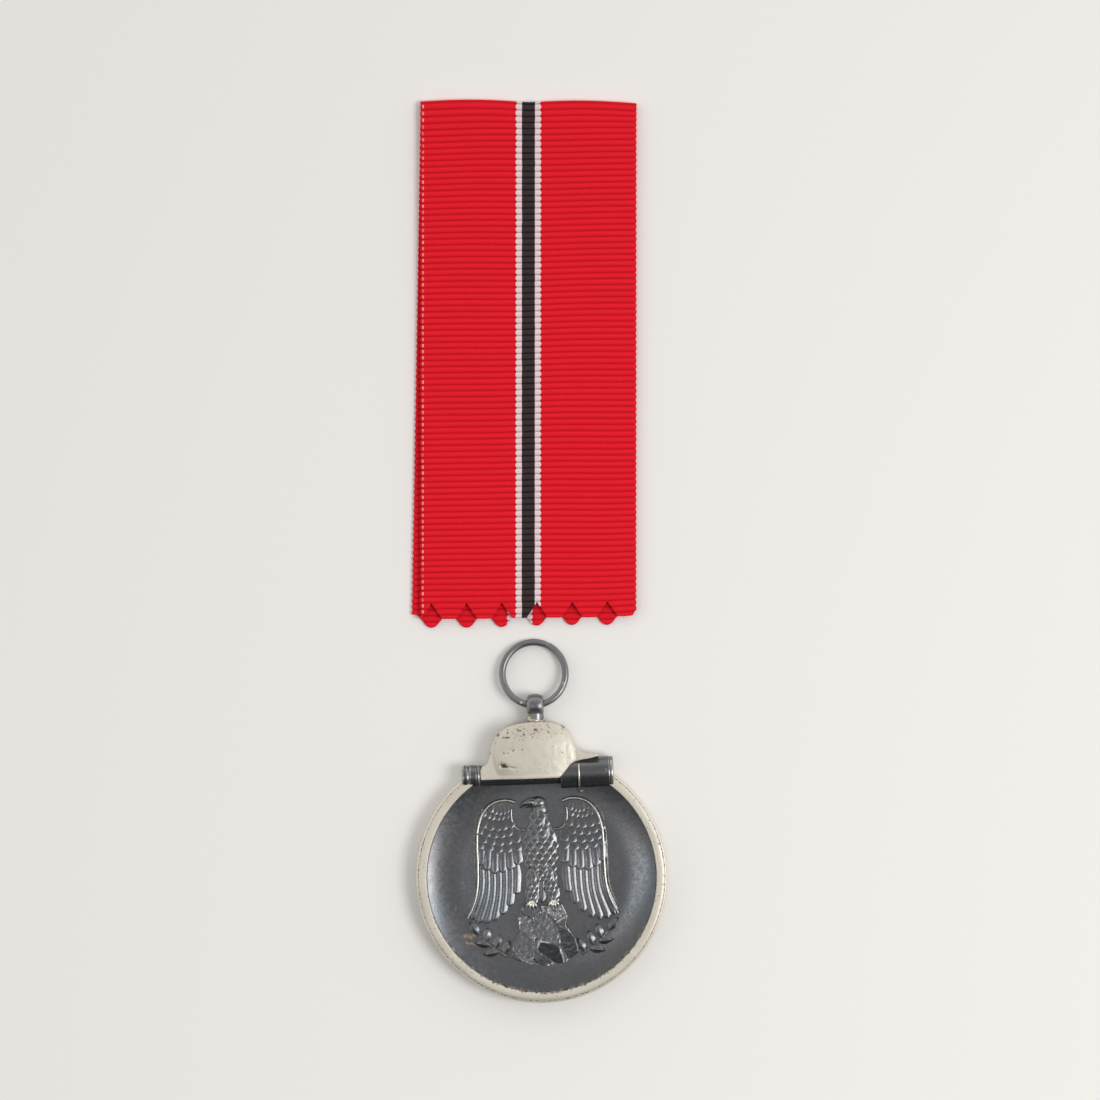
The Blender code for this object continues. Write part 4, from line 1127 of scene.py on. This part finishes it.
def cloth_face(outer):
    """The cloth's outer or inner skin, as points with their place across and along, and faces."""
    points, faces, places = [], [], []
    lift = CORE_HALF if outer else -CORE_HALF

    def add(across, along):
        """A point of this skin, by its number."""
        spot, normal = ribbon_point(across, along)
        points.append(spot + normal * lift)
        places.append((across, along))
        return len(points) - 1

    fine = []
    for a, b in zip(COLUMNS, COLUMNS[1:]):
        fine += [a + (b - a) * k / END_SPLIT for k in range(END_SPLIT)]
    fine.append(COLUMNS[-1])
    steps = int(END_ZONE / RIB_PITCH * ROWS_PER_RIB)

    def end_rows(upper):
        """The rows of one pinked end, each of them reaching as far as the end is cut."""
        rows = []
        for step in range(1, steps + 1):
            row = []
            for across in fine:
                reach = END_ZONE - ribbon_end(across, upper)
                away = reach * step / steps
                along = total_length - END_ZONE + away if upper else END_ZONE - away
                row.append(add(across, along))
            rows.append(row)
        return rows

    middle = [[add(across, along) for across in COLUMNS] for along in cloth_rows()]
    for low, high in zip(middle, middle[1:]):
        faces.extend([a, b, d, c] for a, b, c, d in zip(low, low[1:], high, high[1:]))
    edges = []
    for upper in (False, True):
        rows = end_rows(upper)
        start = middle[-1] if upper else middle[0]
        for k in range(len(COLUMNS) - 1):
            strip = rows[0][k * END_SPLIT:(k + 1) * END_SPLIT + 1]
            faces.append([start[k], start[k + 1], *reversed(strip)])
        for low, high in zip(rows, rows[1:]):
            faces.extend([a, b, d, c] for a, b, c, d in zip(low, low[1:], high, high[1:]))
        edges.append(rows)
    left = [r[0] for r in reversed(edges[0])] + [r[0] for r in middle] + [r[0] for r in edges[1]]
    right = [r[-1] for r in reversed(edges[0])] + [r[-1] for r in middle] + [r[-1] for r in edges[1]]
    border = left + edges[1][-1][1:-1] + right[::-1] + edges[0][-1][1:-1][::-1]
    return points, faces, places, border


outer_points, outer_faces, outer_places, border = cloth_face(True)
inner_points, inner_faces, inner_places, _ = cloth_face(False)
shift = len(outer_points)
cloth_points = outer_points + inner_points
cloth_faces = outer_faces + [[i + shift for i in f] for f in inner_faces]
for k, i in enumerate(border):
    j = border[(k + 1) % len(border)]
    cloth_faces.append([i, j, j + shift, i + shift])
cloth = mesh_from("ribbon", np.array(cloth_points) * MM, cloth_faces)
cloth_places = np.array(outer_places + inner_places)
for name, column in (("across", 0), ("along", 1)):
    attribute = cloth.attributes.new(name, "FLOAT", "POINT")
    attribute.data.foreach_set("value", cloth_places[:, column].astype(np.float32))


def ribs(tree, cords):
    """How high the rib is, from 0 to 1, at a place counted in cords."""
    half_turns = combined(tree, "MULTIPLY", cords, math.pi)
    return combined(tree, "ABSOLUTE", combined(tree, "SINE", half_turns, 0.0), 0.0)


def rib_tree():
    """Raises a rounded rib over each cord: each point moves out along its own normal."""
    tree = bpy.data.node_groups.new("ribbon_ribs", "GeometryNodeTree")
    sockets = (("Cloth", "Geometry"), ("Rib Pitch", "Float"), ("Rib Rise", "Float"), ("Finish", "Material"))
    for name, kind in sockets:
        tree.interface.new_socket(name, in_out="INPUT", socket_type=f"NodeSocket{kind}")
    tree.interface.new_socket("Ribbed", in_out="OUTPUT", socket_type="NodeSocketGeometry")
    given = tree.nodes.new("NodeGroupInput")
    out = tree.nodes.new("NodeGroupOutput")
    along = node_into(tree, "GeometryNodeInputNamedAttribute", data_type="FLOAT")
    along.inputs["Name"].default_value = "along"
    turns = combined(tree, "DIVIDE", along.outputs["Attribute"], given.outputs["Rib Pitch"])
    wave = ribs(tree, turns)
    rounded = combined(tree, "POWER", wave, 0.85)
    height = combined(tree, "MULTIPLY", rounded, given.outputs["Rib Rise"])
    normal = tree.nodes.new("GeometryNodeInputNormal")
    offset = node_into(tree, "ShaderNodeVectorMath", operation="SCALE")
    tree.links.new(normal.outputs["Normal"], offset.inputs[0])
    tree.links.new(height, offset.inputs["Scale"])
    raise_ribs = tree.nodes.new("GeometryNodeSetPosition")
    tree.links.new(given.outputs["Cloth"], raise_ribs.inputs["Geometry"])
    tree.links.new(offset.outputs["Vector"], raise_ribs.inputs["Offset"])
    real = tree.nodes.new("GeometryNodeRealizeInstances")
    coat = tree.nodes.new("GeometryNodeSetMaterial")
    tree.links.new(raise_ribs.outputs["Geometry"], real.inputs["Geometry"])
    tree.links.new(real.outputs["Geometry"], coat.inputs["Geometry"])
    tree.links.new(given.outputs["Finish"], coat.inputs["Material"])
    tree.links.new(coat.outputs["Geometry"], out.inputs["Ribbed"])
    return tree


def ribbon_cloth():
    """The cloth's finish, coloured by the place across and along the ribbon, with painted shade in the
    grooves between ribs and painted light on their crests.
    """
    material = bpy.data.materials.new("ribbon_cloth")
    material.use_nodes = True
    tree = material.node_tree
    shader = tree.nodes["Principled BSDF"]
    across = node_into(tree, "ShaderNodeAttribute", attribute_name="across").outputs["Fac"]
    along = node_into(tree, "ShaderNodeAttribute", attribute_name="along").outputs["Fac"]
    where = tree.nodes.new("ShaderNodeCombineXYZ")
    tree.links.new(combined(tree, "MULTIPLY", across, 3.2), where.inputs["X"])
    tree.links.new(combined(tree, "MULTIPLY", along, 0.55), where.inputs["Y"])
    threads = node_into(tree, "ShaderNodeTexNoise", Scale=1.0, Detail=3.0, Roughness=0.6)
    tree.links.new(where.outputs[0], threads.inputs["Vector"])
    rib_place = combined(tree, "DIVIDE", along, RIB_PITCH)
    crest = ribs(tree, rib_place)
    wobble = combined(tree, "MULTIPLY", combined(tree, "SUBTRACT", threads.outputs["Fac"], 0.5), 0.2)
    pinch = combined(tree, "MULTIPLY", combined(tree, "SUBTRACT", crest, 0.6), 0.22)
    off_middle = combined(tree, "ABSOLUTE", combined(tree, "ADD", across, wobble), 0.0)
    white_out = combined(tree, "SUBTRACT", off_middle, pinch)
    is_stripe = remap(tree, white_out, 1.79, 1.71)
    is_black = remap(tree, off_middle, 0.98, 0.90)
    # Painted shade and light: each colour runs from a darker one in the grooves to a lighter one on the rib
    # crests.
    red = blended(tree, remap(tree, crest, 0.0, 0.95), (0.49, 0.002, 0.008), (0.74, 0.011, 0.024))
    red = blended(tree, remap(tree, threads.outputs["Fac"], 0.3, 0.7, 0.0, 0.3), red, (0.62, 0.004, 0.013))
    white = blended(tree, remap(tree, crest, 0.1, 0.6), (0.42, 0.30, 0.32), (0.73, 0.59, 0.61))
    black = blended(tree, remap(tree, crest, 0.1, 0.8), (0.010, 0.006, 0.007), (0.040, 0.026, 0.028))
    striped = blended(tree, is_stripe, red, white)
    striped = blended(tree, is_black, striped, black)
    from_stitch = combined(tree, "ABSOLUTE", combined(tree, "ADD", across, RIBBON_W / 2 - 0.3), 0.0)
    stitch = combined(tree, "MULTIPLY", remap(tree, from_stitch, 0.13, 0.06), remap(tree, crest, 0.55, 0.85))
    stitch = combined(tree, "MULTIPLY", stitch, remap(tree, along, LOWER_L, LOWER_L + 1.0))
    stitch = combined(tree, "MULTIPLY", stitch, remap(tree, threads.outputs["Fac"], 0.35, 0.6, 0.15, 0.8))
    striped = blended(tree, stitch, striped, (0.85, 0.45, 0.40))
    tree.links.new(striped, shader.inputs["Base Color"])
    shader.inputs["Roughness"].default_value = 0.75
    shader.inputs["Specular IOR Level"].default_value = 0.1
    shader.inputs["Sheen Weight"].default_value = 0.04
    shader.inputs["Sheen Roughness"].default_value = 0.4
    bump = node_into(tree, "ShaderNodeBump", Strength=0.5, Distance=0.06 * MM)
    tree.links.new(threads.outputs["Fac"], bump.inputs["Height"])
    tree.links.new(bump.outputs["Normal"], shader.inputs["Normal"])
    return material


RIBBON_CLOTH = ribbon_cloth()
rib_values = {"Rib Pitch": RIB_PITCH, "Rib Rise": RIB_RISE * MM, "Finish": RIBBON_CLOTH}
ribbed = made_by(rib_tree(), cloth, rib_values)
ribbed.shade_smooth()
ribbon = bpy.data.objects.new("ribbon_cloth", ribbed)
bpy.context.scene.collection.objects.link(ribbon)
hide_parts("ribbon_lower_leaf", "ribbon_upper_leaf")
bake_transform(ribbon)


# ---- Floor, light and camera ----
# A pale matt floor under soft light from both sides and from the ribbon's end, with a large lamp on
# the right and a small one on the left, both a little toward the foot of the disc.
floor_material = bpy.data.materials.new("pale_floor")
floor_material.use_nodes = True
floor_shader = floor_material.node_tree.nodes["Principled BSDF"]
floor_shader.inputs["Base Color"].default_value = (0.80, 0.785, 0.765, 1.0)
floor_shader.inputs["Roughness"].default_value = 0.9
FLOOR_HALF, FLOOR_Z = 1.5, -0.00003
corners = [(x * FLOOR_HALF, y * FLOOR_HALF, FLOOR_Z) for x, y in ((-1, -1), (1, -1), (1, 1), (-1, 1))]
floor_mesh = mesh_from("floor", corners, [[0, 1, 2, 3]])
floor_mesh.materials.append(floor_material)
floor = bpy.data.objects.new("floor", floor_mesh)
bpy.context.scene.collection.objects.link(floor)
floor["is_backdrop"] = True

world = bpy.data.worlds.new("studio")
bpy.context.scene.world = world
world.use_nodes = True
sky = world.node_tree
direction = sky.nodes.new("ShaderNodeTexCoord").outputs["Generated"]
split = sky.nodes.new("ShaderNodeSeparateXYZ")
sky.links.new(direction, split.inputs[0])
sideways = remap(sky, combined(sky, "ABSOLUTE", split.outputs["X"], 0.0), 0.35, 0.85)
toward_ring = remap(sky, split.outputs["Y"], 0.5, 0.85)
toward_foot = remap(sky, combined(sky, "MULTIPLY", split.outputs["Y"], -1.0), 0.1, 0.55)
brightness = combined(sky, "ADD", 0.545, combined(sky, "MULTIPLY", sideways, 0.62))
brightness = combined(sky, "ADD", brightness, combined(sky, "MULTIPLY", toward_ring, 0.7))
brightness = combined(sky, "SUBTRACT", brightness, combined(sky, "MULTIPLY", toward_foot, 0.5))
background = sky.nodes["Background"]
background.inputs["Color"].default_value = (1.0, 0.985, 0.965, 1.0)
sky.links.new(brightness, background.inputs["Strength"])

lamps = (
    ("main_lamp", (0.41, -0.11, 0.52), 0.35, 0.35, 2.1),
    ("left_strip", (-0.135, -0.10, 0.50), 0.07, 0.18, 0.12),
)
for name, place, width, length, watts in lamps:
    lamp_data = bpy.data.lights.new(name, "AREA")
    lamp_data.shape = "ELLIPSE"
    lamp_data.size, lamp_data.size_y = width, length
    lamp_data.energy = watts
    lamp = bpy.data.objects.new(name, lamp_data)
    lamp.location = place
    lamp.rotation_euler = (DISC - lamp.location).to_track_quat("-Z", "Y").to_euler()
    bpy.context.scene.collection.objects.link(lamp)
bpy.context.scene.view_settings.view_transform = "Standard"

VIEW_CENTRE = DISC + Vector((2.99, 46.795, 0.0)) * MM
VIEW_WIDTH = 158.4 * MM
VIEW_TURN = math.radians(-2.2)
camera_data = bpy.data.cameras.new("camera")
camera_data.lens = 100.0
camera_data.sensor_width = 36.0
camera_data.clip_start = 0.01
camera = bpy.data.objects.new("camera", camera_data)
camera.location = (VIEW_CENTRE.x, VIEW_CENTRE.y, VIEW_WIDTH * camera_data.lens / camera_data.sensor_width)
camera.rotation_euler = (0.0, 0.0, VIEW_TURN)
bpy.context.scene.collection.objects.link(camera)
bpy.context.scene.camera = camera

low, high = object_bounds()
